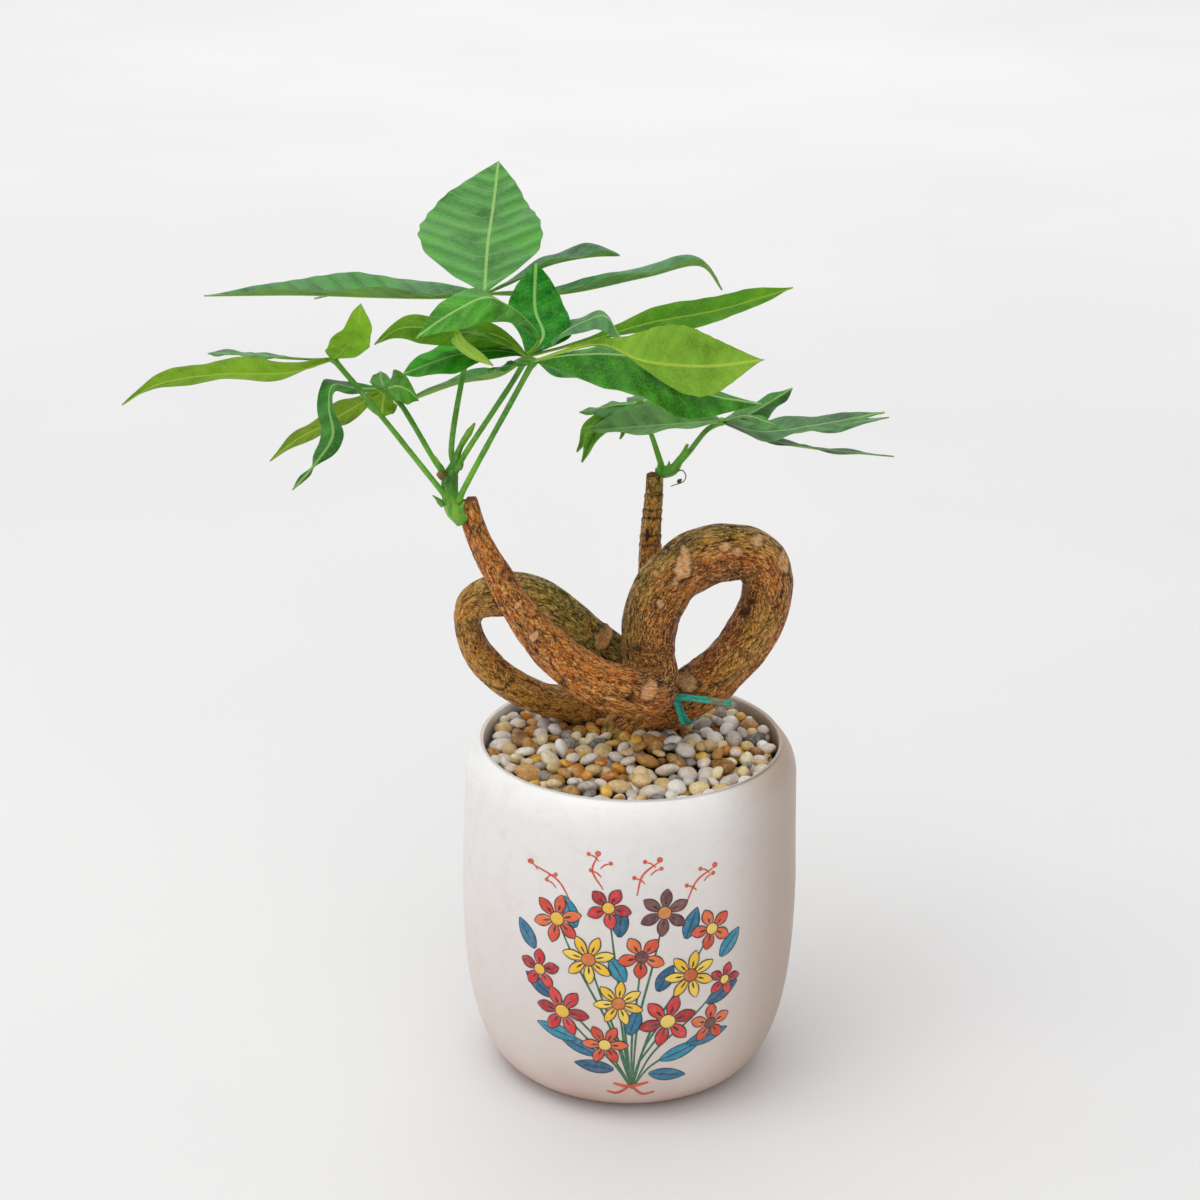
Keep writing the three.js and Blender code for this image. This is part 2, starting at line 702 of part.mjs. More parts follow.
place('pot', buildPot(), finishes.glaze);
place('potting_soil', buildSoil(roomForStems), finishes.soil);
place('pebble_bed', buildPebbles(roomForStems), finishes.pebbles);
place('right_loop_stem', rightLoop, finishes.bark);
place('left_loop_stem', leftLoop, finishes.bark);
place('plastic_tie', buildTie(), finishes.tie);
place('left_shoot', leftShoot, finishes.shoot);
place('right_shoot', rightShoot, finishes.shoot);
for (const [name, leaf] of Object.entries(leaves)) {
  place(name, buildLeaf(leaf, roomForShoots[name.split('_')[0]]), finishes.leaf);
}

export default plant;
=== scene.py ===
# A potted money tree: two young stems looped round each other in a white ceramic pot, with polished
# pebbles on the soil and palmate leaves at the ends. Sizes are in millimetres until a mesh is made.
import math
from functools import partial

import bmesh
import bpy
import numpy as np
from mathutils import Euler, Matrix, Vector


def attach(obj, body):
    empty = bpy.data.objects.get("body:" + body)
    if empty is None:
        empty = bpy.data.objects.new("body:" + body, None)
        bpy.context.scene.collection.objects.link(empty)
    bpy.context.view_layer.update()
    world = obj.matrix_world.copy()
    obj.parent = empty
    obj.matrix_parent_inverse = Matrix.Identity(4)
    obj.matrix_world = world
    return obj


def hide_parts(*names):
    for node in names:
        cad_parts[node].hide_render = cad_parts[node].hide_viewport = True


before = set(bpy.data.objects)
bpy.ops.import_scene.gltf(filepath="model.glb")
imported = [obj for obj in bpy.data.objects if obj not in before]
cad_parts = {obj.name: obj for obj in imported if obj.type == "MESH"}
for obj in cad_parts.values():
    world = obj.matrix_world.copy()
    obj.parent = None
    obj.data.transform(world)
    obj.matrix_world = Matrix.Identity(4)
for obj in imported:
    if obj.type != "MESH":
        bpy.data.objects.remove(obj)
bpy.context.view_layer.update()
mm = 0.001
print("frame loaded")


# sRGB hex to the linear colour that a shader socket takes
def linear(hexColour):
    channels = [int(hexColour[i:i + 2], 16) / 255 for i in (1, 3, 5)]
    return np.array([c / 12.92 if c <= 0.04045 else ((c + 0.055) / 1.055) ** 2.4 for c in channels] + [1.0])


# adds a node with its settings and links, and gives back its output called out. An input, by name or
# number, takes a socket to link, a hex colour or a value, and stops are places and colours along a ramp
def addNode(tree, kind, inputs=None, stops=(), out=0, **settings):
    node = tree.nodes.new("ShaderNode" + kind)
    for field, value in settings.items():
        setattr(node, field, value)
    for key, value in (inputs or {}).items():
        if isinstance(value, bpy.types.NodeSocket):
            tree.links.new(value, node.inputs[key])
        else:
            node.inputs[key].default_value = linear(value) if isinstance(value, str) else value
    while stops and len(node.color_ramp.elements) < len(stops):
        node.color_ramp.elements.new(0.5)
    for k, (position, colour) in enumerate(stops):
        node.color_ramp.elements[k].position = position
        node.color_ramp.elements[k].color = linear(colour)
    return node.outputs[out]


# a material, addNode for its nodes, and its shader
def newMaterial(name, **shader):
    material = bpy.data.materials.new(name)
    material.use_nodes = True
    surface = material.node_tree.nodes["Principled BSDF"]
    for key, value in shader.items():
        surface.inputs[key.replace("_", " ")].default_value = value
    return material, partial(addNode, material.node_tree), surface


# lays tones over a colour, one by one. Each comes with the pattern that it follows, the values of it where
# the tone begins and where it is full, and the share of the tone there
def layTones(add, colour, *layers):
    for tone, pattern, *limits in layers:
        amount = add("MapRange", {"Value": pattern, **dict(zip(("From Min", "From Max", "To Max"), limits))})
        colour = add("Mix", {0: amount, 6: colour, 7: tone}, data_type="RGBA", out=2)
    return colour


# gives a shader its colour, its roughness from a pattern, the least and the most (at 0 and 1 of the pattern
# if no other values follow), and its relief from a height, a strength and a depth in metres
def dress(add, surface, colour, rough=None, relief=None):
    sockets = {"Base Color": colour}
    if rough:
        limits = zip(("Value", "To Min", "To Max", "From Min", "From Max"), rough)
        sockets["Roughness"] = add("MapRange", dict(limits))
    if relief:
        sockets["Normal"] = add("Bump", dict(zip(("Height", "Strength", "Distance"), relief)))
    for key, socket in sockets.items():
        surface.id_data.links.new(socket, surface.inputs[key])


# smooth noise of about -1 to 1 at any points, the same each run
def smoothNoise(x, y, z, seed=0):
    x, y, z = np.broadcast_arrays(*(np.asarray(v, float) for v in (x, y, z)))
    ix, iy, iz = (np.floor(v).astype(np.int64) for v in (x, y, z))
    fx, fy, fz = (f * f * f * (f * (f * 6 - 15) + 10) for f in (x - ix, y - iy, z - iz))

    def corner(a, b, c):
        h = (ix + a) * 73856093 ^ (iy + b) * 19349663 ^ (iz + c) * 83492791 ^ (seed * 2654435761)
        h = (h ^ (h >> 13)) * 1274126177 & 0x7FFFFFFF
        h = (h ^ (h >> 15)) * 461845907 & 0x7FFFFFFF
        return h / 0x3FFFFFFF - 1

    layers = []
    for c in (0, 1):
        rows = [corner(0, b, c) * (1 - fx) + corner(1, b, c) * fx for b in (0, 1)]
        layers.append(rows[0] * (1 - fy) + rows[1] * fy)
    return layers[0] * (1 - fz) + layers[1] * fz


def smoothStep(x, low, high):
    t = np.clip((np.asarray(x, float) - low) / (high - low), 0, 1)
    return t * t * (3 - 2 * t)


def unit(vectors):
    return vectors / np.linalg.norm(vectors, axis=-1, keepdims=True)


def circle(count):
    return np.arange(count) * 2 * np.pi / count


# faces over a grid whose rows close on themselves
def gridFaces(rows, columns):
    i, j = np.arange(rows - 1)[:, None] * columns, np.arange(columns)[None]
    following = (j + 1) % columns
    corners = np.broadcast_arrays(i + j, i + following, i + columns + following, i + columns + j)
    return np.stack(corners, -1).reshape(-1, 4)


# pieces of one mesh, put together with their colours and other values for each corner
class MeshParts:
    def __init__(self):
        self.points, self.faces, self.slots, self.values, self.count = [], [], [], [], 0

    def add(self, points, faces, slot=0, **values):
        self.points.append(points)
        self.faces.append(faces + self.count)
        self.slots.append(np.broadcast_to(slot, len(faces)))
        self.values.append({
            key: np.broadcast_to(value, (len(points), *(n for n in np.shape(value)[-1:] if n < 5)))
            for key, value in values.items()
        })
        self.count += len(points)

    # tube over a grid of rings, closed by a fan at each end. The slot and each value are one for all, or one
    # for each side or each row
    def addTube(self, rings, slot=0, **values):
        rows, sides = rings.shape[:2]
        total, last = rows * sides, (rows - 1) * sides
        points = np.concatenate([rings.reshape(-1, 3), rings[[0, -1]].mean(1)])
        quads = gridFaces(rows, sides)
        j = np.arange(sides)
        following = (j + 1) % sides
        fans = np.concatenate([
            np.stack([following, j, np.full(sides, total)], -1),
            np.stack([last + j, last + following, np.full(sides, total + 1)], -1),
        ])
        for key, value in values.items():
            value = np.asarray(value, float)
            if value.ndim > 1:
                width = value.shape[2:]
                value = np.broadcast_to(value, (rows, sides) + width)
                values[key] = np.concatenate([value.reshape((total,) + width), value[[0, -1]].mean(1)])
        # six times the volume is below zero where the faces look inwards
        triangles = np.concatenate([quads[:, :3], quads[:, [0, 2, 3]], fans])
        a, b, c = (points[triangles[:, k]] for k in (0, 1, 2))
        if (a * np.cross(b, c)).sum() < 0:
            quads, fans = quads[:, ::-1], fans[:, ::-1]
        slot = np.broadcast_to(slot, (rows - 1, sides))
        start = self.count
        self.add(points, quads, slot.ravel(), **values)
        self.faces.append(fans + start)
        self.slots.append(np.repeat(slot[[0, -1], 0], sides))

    def make(self, name, materials, replaced=(), slotName=None):
        mesh = bpy.data.meshes.new(name)
        faces = [face for block in self.faces for face in block.tolist()]
        mesh.from_pydata((np.concatenate(self.points) * mm).tolist(), [], faces)
        for material in materials:
            mesh.materials.append(material)
        mesh.polygons.foreach_set("material_index", np.concatenate(self.slots).astype(np.int32))
        kinds = {1: ("FLOAT", "value"), 3: ("FLOAT_VECTOR", "vector"), 4: ("FLOAT_COLOR", "color")}
        for key in sorted({key for block in self.values for key in block}):
            width = next(block[key][0].size for block in self.values if key in block)
            full = np.concatenate([
                np.reshape(block.get(key, np.zeros(len(points) * width)), (-1, width))
                for block, points in zip(self.values, self.points)
            ])
            kind, field = kinds[width]
            mesh.attributes.new(key, kind, "POINT").data.foreach_set(field, full.astype(np.float32).ravel())
        mesh.shade_smooth()
        mesh.validate()
        piece = bpy.data.objects.new(name, mesh)
        bpy.context.scene.collection.objects.link(piece)
        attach(piece, "root")
        if replaced:
            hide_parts(*replaced)
        return piece


# points on a smooth line through the given ones, evenly spaced, with the way it runs and where each lies in
# the list, and the line's length
def smoothLine(points, count):
    points = np.asarray(points, float)
    last = len(points) - 1
    padded = np.vstack([2 * points[0] - points[1], points, 2 * points[-1] - points[-2]])

    def at(t):
        p = np.clip(t, 0, 1) * last
        i = np.minimum(np.floor(p).astype(int), last - 1)
        w = (p - i)[:, None]
        x0, x1, x2, x3 = (padded[i + k] for k in range(4))
        d0, d1, d2 = (((b - a) ** 2).sum(1)[:, None] ** 0.25 for a, b in ((x0, x1), (x1, x2), (x2, x3)))
        m1 = ((x1 - x0) / d0 - (x2 - x0) / (d0 + d1) + (x2 - x1) / d1) * d1
        m2 = ((x2 - x1) / d1 - (x3 - x1) / (d1 + d2) + (x3 - x2) / d2) * d1
        curve = x1 + m1 * w + (-3 * x1 + 3 * x2 - 2 * m1 - m2) * w ** 2
        return curve + (2 * x1 - 2 * x2 + m1 + m2) * w ** 3, p

    fine = np.linspace(0, 1, 401)
    line, _ = at(fine)
    lengths = np.concatenate([[0], np.cumsum(np.linalg.norm(np.diff(line, axis=0), axis=1))])
    line, where = at(np.interp(np.linspace(0, lengths[-1], count), lengths, fine))
    return line, unit(np.gradient(line, axis=0)), where, lengths[-1]


def lineLength(points):
    return smoothLine(points, 3)[3]


# two directions square to a line at each of its points, which don't spin round it
def steadyFrames(tangents):
    normals = np.zeros_like(tangents)
    n = np.array((0.0, -1.0, 0.0))
    for i, t in enumerate(tangents):
        n = unit(n - t * n.dot(t))
        normals[i] = n
    return normals, np.cross(tangents, normals)


# rings round a stem whose stations are x, y, z and radius
def stemRings(stations, step, sides):
    stations = np.asarray(stations, float)
    count = max(4, int(round(lineLength(stations[:, :3]) / step)) + 1)
    line, tangents, where, length = smoothLine(stations[:, :3], count)
    radii = np.interp(where, np.arange(len(stations)), stations[:, 3])
    normals, sidesways = steadyFrames(tangents)
    angles = circle(sides)
    outward = normals[:, None] * np.cos(angles)[:, None] + sidesways[:, None] * np.sin(angles)[:, None]
    return {
        "line": line, "tangents": tangents, "where": where, "radii": radii, "outward": outward,
        "angles": angles, "along": np.linspace(0, length, count),
    }


studio = {
    "eye": (-11.9, -842.3, 500.3),
    "elevation": 20.62,  # degrees that the camera looks down
    "roll": 0.52,
    "lens": 74.73,
    "floorSize": 14.0,  # metres
    "floorColours": ("#e3e3e4", "#e8e8e8"),
    "skyColour": "#fbfbfb",
    "sky": (0.64, 1.22),  # strength of the room's light at the level of the eye and straight above
    "dimColour": "#8c7666",  # of the room to the right, and where it begins and how much of it there is
    "dimSide": (0.2, 0.9, 0.7),
    # each lamp's place, the point that it looks at, its width and its power
    "lamps": {
        "overhead_softbox": ((-0.5, -0.3, 1.5), (0, 0, 0.15), 0.7, 4.4),
        "backdrop_wash": ((0.0, 2.6, 2.0), (0, 3.2, 0), 2.6, 15.0),
    },
}


def makeCamera():
    s = studio
    e, r = math.radians(s["elevation"]), math.radians(s["roll"])
    back = Vector((0, -math.cos(e), math.sin(e)))
    level = Vector((1, 0, 0))
    upright = back.cross(level)
    across = level * math.cos(r) + upright * math.sin(r)
    up = upright * math.cos(r) - level * math.sin(r)
    camera = bpy.data.objects.new("camera", bpy.data.cameras.new("camera"))
    camera.data.lens = s["lens"]
    camera.data.sensor_width = 36
    camera.data.clip_start, camera.data.clip_end = 0.05, 60
    turned = Matrix((across, up, back)).transposed().to_4x4()
    camera.matrix_world = Matrix.Translation(Vector(s["eye"]) * mm) @ turned
    bpy.context.scene.collection.objects.link(camera)
    bpy.context.scene.camera = camera


def makeLamp(name, position, aim, size, power):
    light = bpy.data.lights.new(name, "AREA")
    light.shape, light.size, light.energy = "DISK", size, power
    lamp = bpy.data.objects.new(name, light)
    lamp.location = position
    lamp.rotation_euler = (Vector(aim) - Vector(position)).to_track_quat("-Z", "Y").to_euler()
    bpy.context.scene.collection.objects.link(lamp)


def makeStudio():
    s, scene = studio, bpy.context.scene
    scene.view_settings.view_transform = "Standard"
    scene.world = bpy.data.worlds.new("studio")
    scene.world.use_nodes = True
    room = scene.world.node_tree
    add = partial(addNode, room)
    ways = add("SeparateXYZ", {0: add("TexCoord", out="Generated")}).node.outputs
    start, end, share = s["dimSide"]
    dim = add("MapRange", {"Value": ways["X"], "From Min": start, "From Max": end, "To Max": share},
              interpolation_type="SMOOTHSTEP")
    low, high = s["sky"]
    background = room.nodes["Background"].inputs
    room.links.new(layTones(add, s["skyColour"], (s["dimColour"], dim)), background["Color"])
    strength = add("MapRange", {"Value": ways["Z"], "To Min": low, "To Max": high})
    room.links.new(strength, background["Strength"])
    half = s["floorSize"] / 2
    mesh = bpy.data.meshes.new("floor")
    corners = [(x * half, y * half, 0) for x, y in ((-1, -1), (1, -1), (1, 1), (-1, 1))]
    mesh.from_pydata(corners, [], [(0, 1, 2, 3)])
    floor = bpy.data.objects.new("floor", mesh)
    scene.collection.objects.link(floor)
    # matt seamless paper, with a faint unevenness of tone that the eye takes for its surface
    paper, add, surface = newMaterial("seamless_backdrop_paper_matt", Roughness=0.9, Specular_IOR_Level=0.2)
    cloud = add("TexNoise", {"Scale": 2.2, "Detail": 3.0, "Vector": add("TexCoord", out="Object")})
    first, second = s["floorColours"]
    dress(add, surface, add("ValToRGB", {"Fac": cloud}, [(0.3, first), (0.7, second)]))
    mesh.materials.append(paper)
    for name, lamp in s["lamps"].items():
        makeLamp(name, *lamp)


makeCamera()
makeStudio()
print("camera, lights and floor made")


pot = {
    "height": 130, "radius": 62.5, "rimRadius": 61.3, "footRadius": 36, "bellyHeight": 76, "bellyPower": 2.73,
    "shoulderHeight": 12.7, "shoulderDepth": 8.8, "mouthRadius": 54.5, "innerRadius": 56, "floorThickness": 9,
    "innerFootRadius": 30, "sides": 160,
    "crowding": 1.5,  # of the rows of corners towards the foot
    # the lip, from its top into the mouth: how far it lies outside the mouth's radius and below the rim
    "lip": [(1.3, 0.02), (0.7, 0.15), (0.25, 0.5), (0.02, 1.1), (0, 2), (0.15, 5), (0.4, 10)],
    "footRing": (31.5, 1.2),  # inner radius of the ring that it stands on, and how deep the hollow inside is
    "drains": (4, 17, 3),  # radius, distance from the middle, number
    "unevenness": 0.12,  # of the thrown wall
    "sharpEdge": 50,  # least angle of an edge that isn't smoothed, in degrees
}


def bellyProfile(foot, radius, low, count):
    t = np.pi / 2 * (1 - np.linspace(0, 1, count)) ** pot["crowding"]
    r = foot + (radius - foot) * np.cos(t) ** (2 / pot["bellyPower"])
    return np.stack([r, low + pot["bellyHeight"] * (1 - np.sin(t) ** (2 / pot["bellyPower"]))], -1)


# radius and height of the pot's face, from the foot to the lip
def faceProfile():
    p = pot
    t = np.radians(np.linspace(0, 76, 16))
    shoulderFoot = p["height"] - p["shoulderHeight"]
    shoulder = np.stack([
        p["rimRadius"] - p["shoulderDepth"] * (1 - np.cos(t)), shoulderFoot + p["shoulderHeight"] * np.sin(t),
    ], -1)
    wall = np.linspace((p["radius"], p["bellyHeight"]), (p["rimRadius"], shoulderFoot), 14)[1:-1]
    return np.vstack([bellyProfile(p["footRadius"], p["radius"], 0, 46), wall, shoulder])


def glazeMaterial():
    # glazed stoneware, sprayed and fired: a satin white skin, darker and warmer towards the foot, partly its own
    # tone and partly painted shade, painted shade on its +X side, a faint mottle of 6 mm and the orange peel of
    # about 1.5 mm that breaks up reflections
    glaze, add, surface = newMaterial("stoneware_white_satin_glaze", IOR=1.5, Coat_Weight=0.25,
                                      Coat_Roughness=0.3)
    spot = add("TexCoord", out="Object")
    cloud, mottle, rare, peel = (
        add("TexNoise", {"Scale": scale, "Detail": detail, "Roughness": rough, "Vector": spot})
        for scale, detail, rough in ((38.0, 3.0, 0.5), (165.0, 4.0, 0.6), (90.0, 1.0, 0.5), (640.0, 2.0, 0.5))
    )
    # painted shade: the colour darkens to pinkish brown towards the foot, partly the glaze's own warmer tone
    # there
    height = add("SeparateXYZ", {0: spot}, out="Z")
    level = add("Math", {0: cloud, 1: 0.02, 2: height}, operation="MULTIPLY_ADD")
    part = add("MapRange", {"Value": level, "From Min": 0.008, "From Max": 0.138})
    body = add("ValToRGB", {"Fac": part}, [
        (0.0, "#c09a88"), (0.08, "#d4bcb0"), (0.2, "#dfd2ca"), (0.45, "#e4dcd8"), (0.85, "#efecea"),
        (1.0, "#f7f6f5"),
    ])
    # painted shade: the side of the pot towards +X is darkened to fawn, standing in for the shade on that side
    flat = add("VectorMath", {0: spot, 1: (1.0, 1.0, 0.0)}, operation="MULTIPLY")
    eastward = add("SeparateXYZ", {0: add("VectorMath", {0: flat}, operation="NORMALIZE")})
    paintedSideShade = add("MapRange", {"Value": eastward, "From Min": 0.4, "From Max": 1.0, "To Max": 0.95},
                interpolation_type="SMOOTHSTEP")
    # iron pins of about 0.6 mm, here and there
    iron = add("TexVoronoi", {"Scale": 210.0, "Vector": spot})
    near = add("MapRange", {"Value": iron, "From Min": 0.1, "From Max": 0.04})
    where = add("MapRange", {"Value": rare, "From Min": 0.6, "From Max": 0.68, "To Max": 0.4})
    pin = add("Math", {0: near, 1: where}, operation="MULTIPLY")
    body = layTones(add, body, ("#cfc3bc", mottle, 0.5, 0.75, 0.22), ("#b39d8c", paintedSideShade), ("#a08468", pin))
    dress(add, surface, body, (mottle, 0.34, 0.56), (peel, 0.28, 0.0002))
    return glaze


# the wall is a little uneven, by tenths of a millimetre, as the reflections in it show
def wallSway(angles, height):
    sway = smoothNoise(np.cos(angles) * 1.6, np.sin(angles) * 1.6, height / 24, 5)
    return pot["unevenness"] * sway * smoothStep(height, 4, 20)


def makePot():
    p = pot
    ring, hollow = p["footRing"]
    profile = np.vstack([
        [(1.2, hollow), (ring - 2.5, hollow), (ring - 0.8, hollow * 0.75), (ring, 0.25), (ring + 0.7, 0)],
        faceProfile(), [(p["mouthRadius"] + out, p["height"] - down) for out, down in p["lip"]],
        bellyProfile(p["innerFootRadius"], p["innerRadius"], p["floorThickness"], 26)[::-1],
        [(1.2, p["floorThickness"])],
    ])
    angles = circle(p["sides"])
    height = profile[:, 1:]
    r = profile[:, :1] + wallSway(angles, height)
    parts = MeshParts()
    parts.addTube(np.stack([r * np.cos(angles), r * np.sin(angles), np.broadcast_to(height, r.shape)], -1))
    piece = parts.make("pot_body", [glazeMaterial()], ["pot"], "glaze")
    drainRadius, offset, count = p["drains"]
    for turn in circle(count):
        bpy.ops.mesh.primitive_cylinder_add(
            vertices=32, radius=drainRadius * mm, depth=0.04,
            location=(offset * math.cos(turn) * mm, offset * math.sin(turn) * mm, 0.005))
        drill = bpy.context.object
        cut = piece.modifiers.new("drain", "BOOLEAN")
        cut.object, cut.operation, cut.solver = drill, "DIFFERENCE", "EXACT"
        bpy.context.view_layer.update()
        shaped = bpy.data.meshes.new_from_object(piece.evaluated_get(bpy.context.evaluated_depsgraph_get()))
        piece.modifiers.clear()
        piece.data = shaped
        bpy.data.objects.remove(drill)
    piece.data.set_sharp_from_angle(angle=math.radians(p["sharpEdge"]))


makePot()
print("pot made")


bouquet = {
    "lift": 0.04,  # of the lowest ink above the glaze
    "step": 0.011,  # between one layer of ink and the next
    "sunk": -0.05,  # where a film of ink ends inside the glaze
    "outline": 0.42, "strokeStep": 1.1,
    "ink": "#3a2420", "stem": "#2f6f4a", "sprigs": "#d8532e",
    "reds": ["#d4222e", "#b41626", "#e03c34"], "corals": ["#e2502a", "#ec7034", "#d8401c"],
    "yellows": ["#f8c420", "#fad650"], "browns": ["#6a3a3a", "#7d4b46"],
    "teals": ["#0c769c", "#128eae", "#086088"],
    "root": (1.5, 14),  # where the wildflowers' stalks meet, to fan out upwards
    # wildflowers: place, size, number of petals, their colours and the middle's, and turn
    "heads": [
        (-27, 84, 9.5, 6, "corals", "#f0c040", 0.2), (-8, 91, 8, 5, "reds", "#f0c040", 0.5),
        (12, 89, 9, 6, "browns", "#d98a3a", 0.1), (30, 80, 8, 5, "corals", "#f3d768", 0.9),
        (-34, 62, 8, 5, "reds", "#f0c040", 0.0), (-15, 70, 9.5, 7, "yellows", "#d9772c", 0.4),
        (4, 72, 8.5, 5, "corals", "#6a3a3a", 0.7), (22, 63, 9.5, 7, "yellows", "#c9612a", 0.2),
        (36, 58, 6.5, 5, "reds", "#f3d768", 0.3), (-25, 47, 10, 6, "reds", "#f0c040", 0.6),
        (-4, 53, 9, 7, "yellows", "#d9772c", 0.1), (14, 45, 10.5, 6, "reds", "#f3d768", 0.3),
        (31, 41, 8, 5, "corals", "#6a3a3a", 0.0), (-9, 35, 8.5, 6, "corals", "#f3d768", 0.5),
    ],
    # long leaves on both sides: place, turn and length
    "leaves": [
        (-12, 30, -1.15, 17), (-20, 36, -1.35, 16), (-29, 52, -1.0, 13), (-36, 70, -0.6, 12),
        (-20, 82, -0.35, 12), (-4, 80, 0.05, 12), (20, 78, 0.35, 12), (34, 68, 0.7, 12), (29, 50, 1.15, 14),
        (22, 34, 1.4, 17), (12, 28, 1.2, 17), (-6, 24, -1.5, 15), (8, 22, 1.75, 15), (-2, 62, -0.5, 11),
        (10, 58, 0.5, 11), (0, 40, 0.3, 11),
    ],
    # thin sprigs with small buds above the fan, and the ribbon round its foot
    "sprigLines": [
        ((-22, 92), (-27, 99), (-38, 103)), ((-10, 98), (-14, 105), (-12, 111)),
        ((2, 96), (4, 104), (10, 109)), ((20, 92), (24, 100), (31, 104)),
    ],
    "ribbons": [
        ([(-6, 17), (0, 15.5), (8, 17.5)], 1.6, 0), ([(1, 16), (-5, 11.5), (-9, 12.5)], 1.2, 2),
        ([(1, 16), (6, 11), (11, 12)], 1.2, 2),
    ],
}


class PotPrint:
    def __init__(self):
        self.profile = faceProfile()
        slope = np.gradient(self.profile, axis=0)
        self.facing = np.arctan2(-slope[:, 0], slope[:, 1])
        self.parts = MeshParts()

    # the point of the pot's face at a distance round it and a height, raised by the lift
    def onPot(self, across, height, lift):
        r, tilt = (np.interp(height, self.profile[:, 1], of) for of in (self.profile[:, 0], self.facing))
        turn = across / pot["radius"]
        out = r + wallSway(turn - np.pi / 2, height) + lift * np.cos(tilt)
        return np.stack([out * np.sin(turn), -out * np.cos(turn), height + lift * np.sin(tilt)], -1)

    # a flat shape drawn along a spine, with its half width at each point: a closed film of ink
    def shape(self, spine, halfWidths, colour, layer, columns=5):
        along = np.gradient(spine, axis=0)
        along /= np.maximum(np.linalg.norm(along, axis=1), 1e-9)[:, None]
        side = np.stack([-along[:, 1], along[:, 0]], -1)
        flat = spine[:, None] + side[:, None] * (halfWidths[:, None] * np.linspace(-1, 1, columns))[..., None]
        top = self.onPot(flat[..., 0], flat[..., 1], bouquet["lift"] + bouquet["step"] * layer)
        low = self.onPot(flat[..., 0], flat[..., 1], bouquet["sunk"])[:, ::-1]
        self.parts.addTube(np.concatenate([top, low], 1), printColour=linear(colour))

    def petal(self, x, z, turn, length, width, colour, layer, base=0.0, sharp=0.8, outlined=True):
        u = np.linspace(0, 1, 11)
        direction = np.array([math.sin(turn), math.cos(turn)])
        films = [(bouquet["outline"], bouquet["ink"]), (0, colour)]
        for rise, (grow, ink) in enumerate(films if outlined else films[1:]):
            reach = (base - grow * 0.5) + (length - base + grow * 1.2) * u
            halves = (width / 2 + grow) * np.sin(np.pi * np.clip(u, 0.02, 0.985) ** sharp) ** 0.7
            self.shape(np.array([x, z]) + reach[:, None] * direction, halves, ink, layer + rise)

    # petals overlap their neighbours, so every second one lies a layer higher
    def flower(self, x, z, size, petals, colours, centre, layer, turn=0.0):
        for k in range(petals):
            angle = turn + 2 * math.pi * k / petals
            wide = 2.5 * size / petals
            level = layer + (2 * (k % 2) if k < petals - 1 or petals % 2 == 0 else 4)
            self.petal(x, z, angle, size, wide, colours[k % len(colours)], level, size * 0.12, 1.25)
            streak = (size * 0.62, wide * 0.22, bouquet["ink"], level + 2, size * 0.3, 1.0, False)
            self.petal(x, z, angle, *streak)
        self.disc(x, z, size * 0.26 + bouquet["outline"] * 0.8, bouquet["ink"], layer + 7)
        self.disc(x, z, size * 0.26, centre, layer + 8)

    def disc(self, x, z, radius, colour, layer):
        t = np.linspace(0.03, np.pi - 0.03, 11)
        self.shape(np.stack([x - radius * np.cos(t), np.full(11, z)], -1), radius * np.sin(t), colour, layer)

    def stroke(self, points, width, colour, layer):
        flat = [(x, z, 0) for x, z in points]
        line = smoothLine(flat, max(8, int(lineLength(flat) / bouquet["strokeStep"])))[0]
        taper = np.sin(np.pi * np.linspace(0.06, 0.94, len(line))) ** 0.4
        self.shape(line[:, :2], width / 2 * taper, colour, layer, 3)

    def leaf(self, x, z, turn, length, width, colour, layer):
        self.petal(x, z, turn, length, width, colour, layer, sharp=0.85)
        tip = (x + 0.86 * length * math.sin(turn), z + 0.86 * length * math.cos(turn))
        self.stroke([(x, z), ((x + tip[0]) / 2, (z + tip[1]) / 2), tip], 0.5, bouquet["ink"], layer + 2)


def makePrint():
    b, draw = bouquet, PotPrint()
    for x, z, *_ in b["heads"]:
        low, rise = b["root"][1], z - b["root"][1]
        bends = [(x * 0.25, low + rise * 0.4), (x * 0.7, low + rise * 0.75)]
        draw.stroke([b["root"], *bends, (x, z)], 0.9, b["stem"], 0)
    for k, leaf in enumerate(b["leaves"]):
        draw.leaf(*leaf, 5.4, b["teals"][k % 3], 1 + 3 * (k % 2))
    for k, (x, z, size, petals, colours, centre, turn) in enumerate(b["heads"]):
        draw.flower(x, z, size, petals, b[colours], centre, 7 + 9 * (k % 2), turn)
    for foot, bend, tip in b["sprigLines"]:
        draw.stroke([foot, bend, tip], 0.75, b["sprigs"], 1)
        for part, side in ((0.35, -1), (0.6, 1), (0.82, -1)):
            x, z = (a + (c - a) * part for a, c in zip(foot, tip))
            draw.stroke([(x, z), (x + side * 1.6, z + 1.6), (x + side * 3.4, z + 2.2)], 0.6, b["sprigs"], 2)
            draw.disc(x + side * 3.8, z + 2.4, 0.8, b["sprigs"], 3)
        draw.disc(tip[0], tip[1] + 0.6, 1.1, b["sprigs"], 3)
    for k, (points, width, colour) in enumerate(b["ribbons"]):
        draw.stroke(points, width, b["corals"][colour], 8 + k)

    # ceramic transfer print, fired on: flat colour that lets a little of the glaze through where it is thin
    ink, add, surface = newMaterial("ceramic_transfer_print_fired", Roughness=0.42, IOR=1.5, Coat_Weight=0.2,
                                    Coat_Roughness=0.3)
    colour = add("Attribute", out="Color", attribute_name="printColour")
    grain = add("TexNoise", {"Scale": 420.0, "Detail": 3.0, "Vector": add("TexCoord", out="Object")})
    dress(add, surface, layTones(add, colour, ("#e8dcd6", grain, 0.45, 0.8, 0.16)))
    draw.parts.make("pot_flower_print", [ink], slotName="glaze")


makePrint()
print("print made")


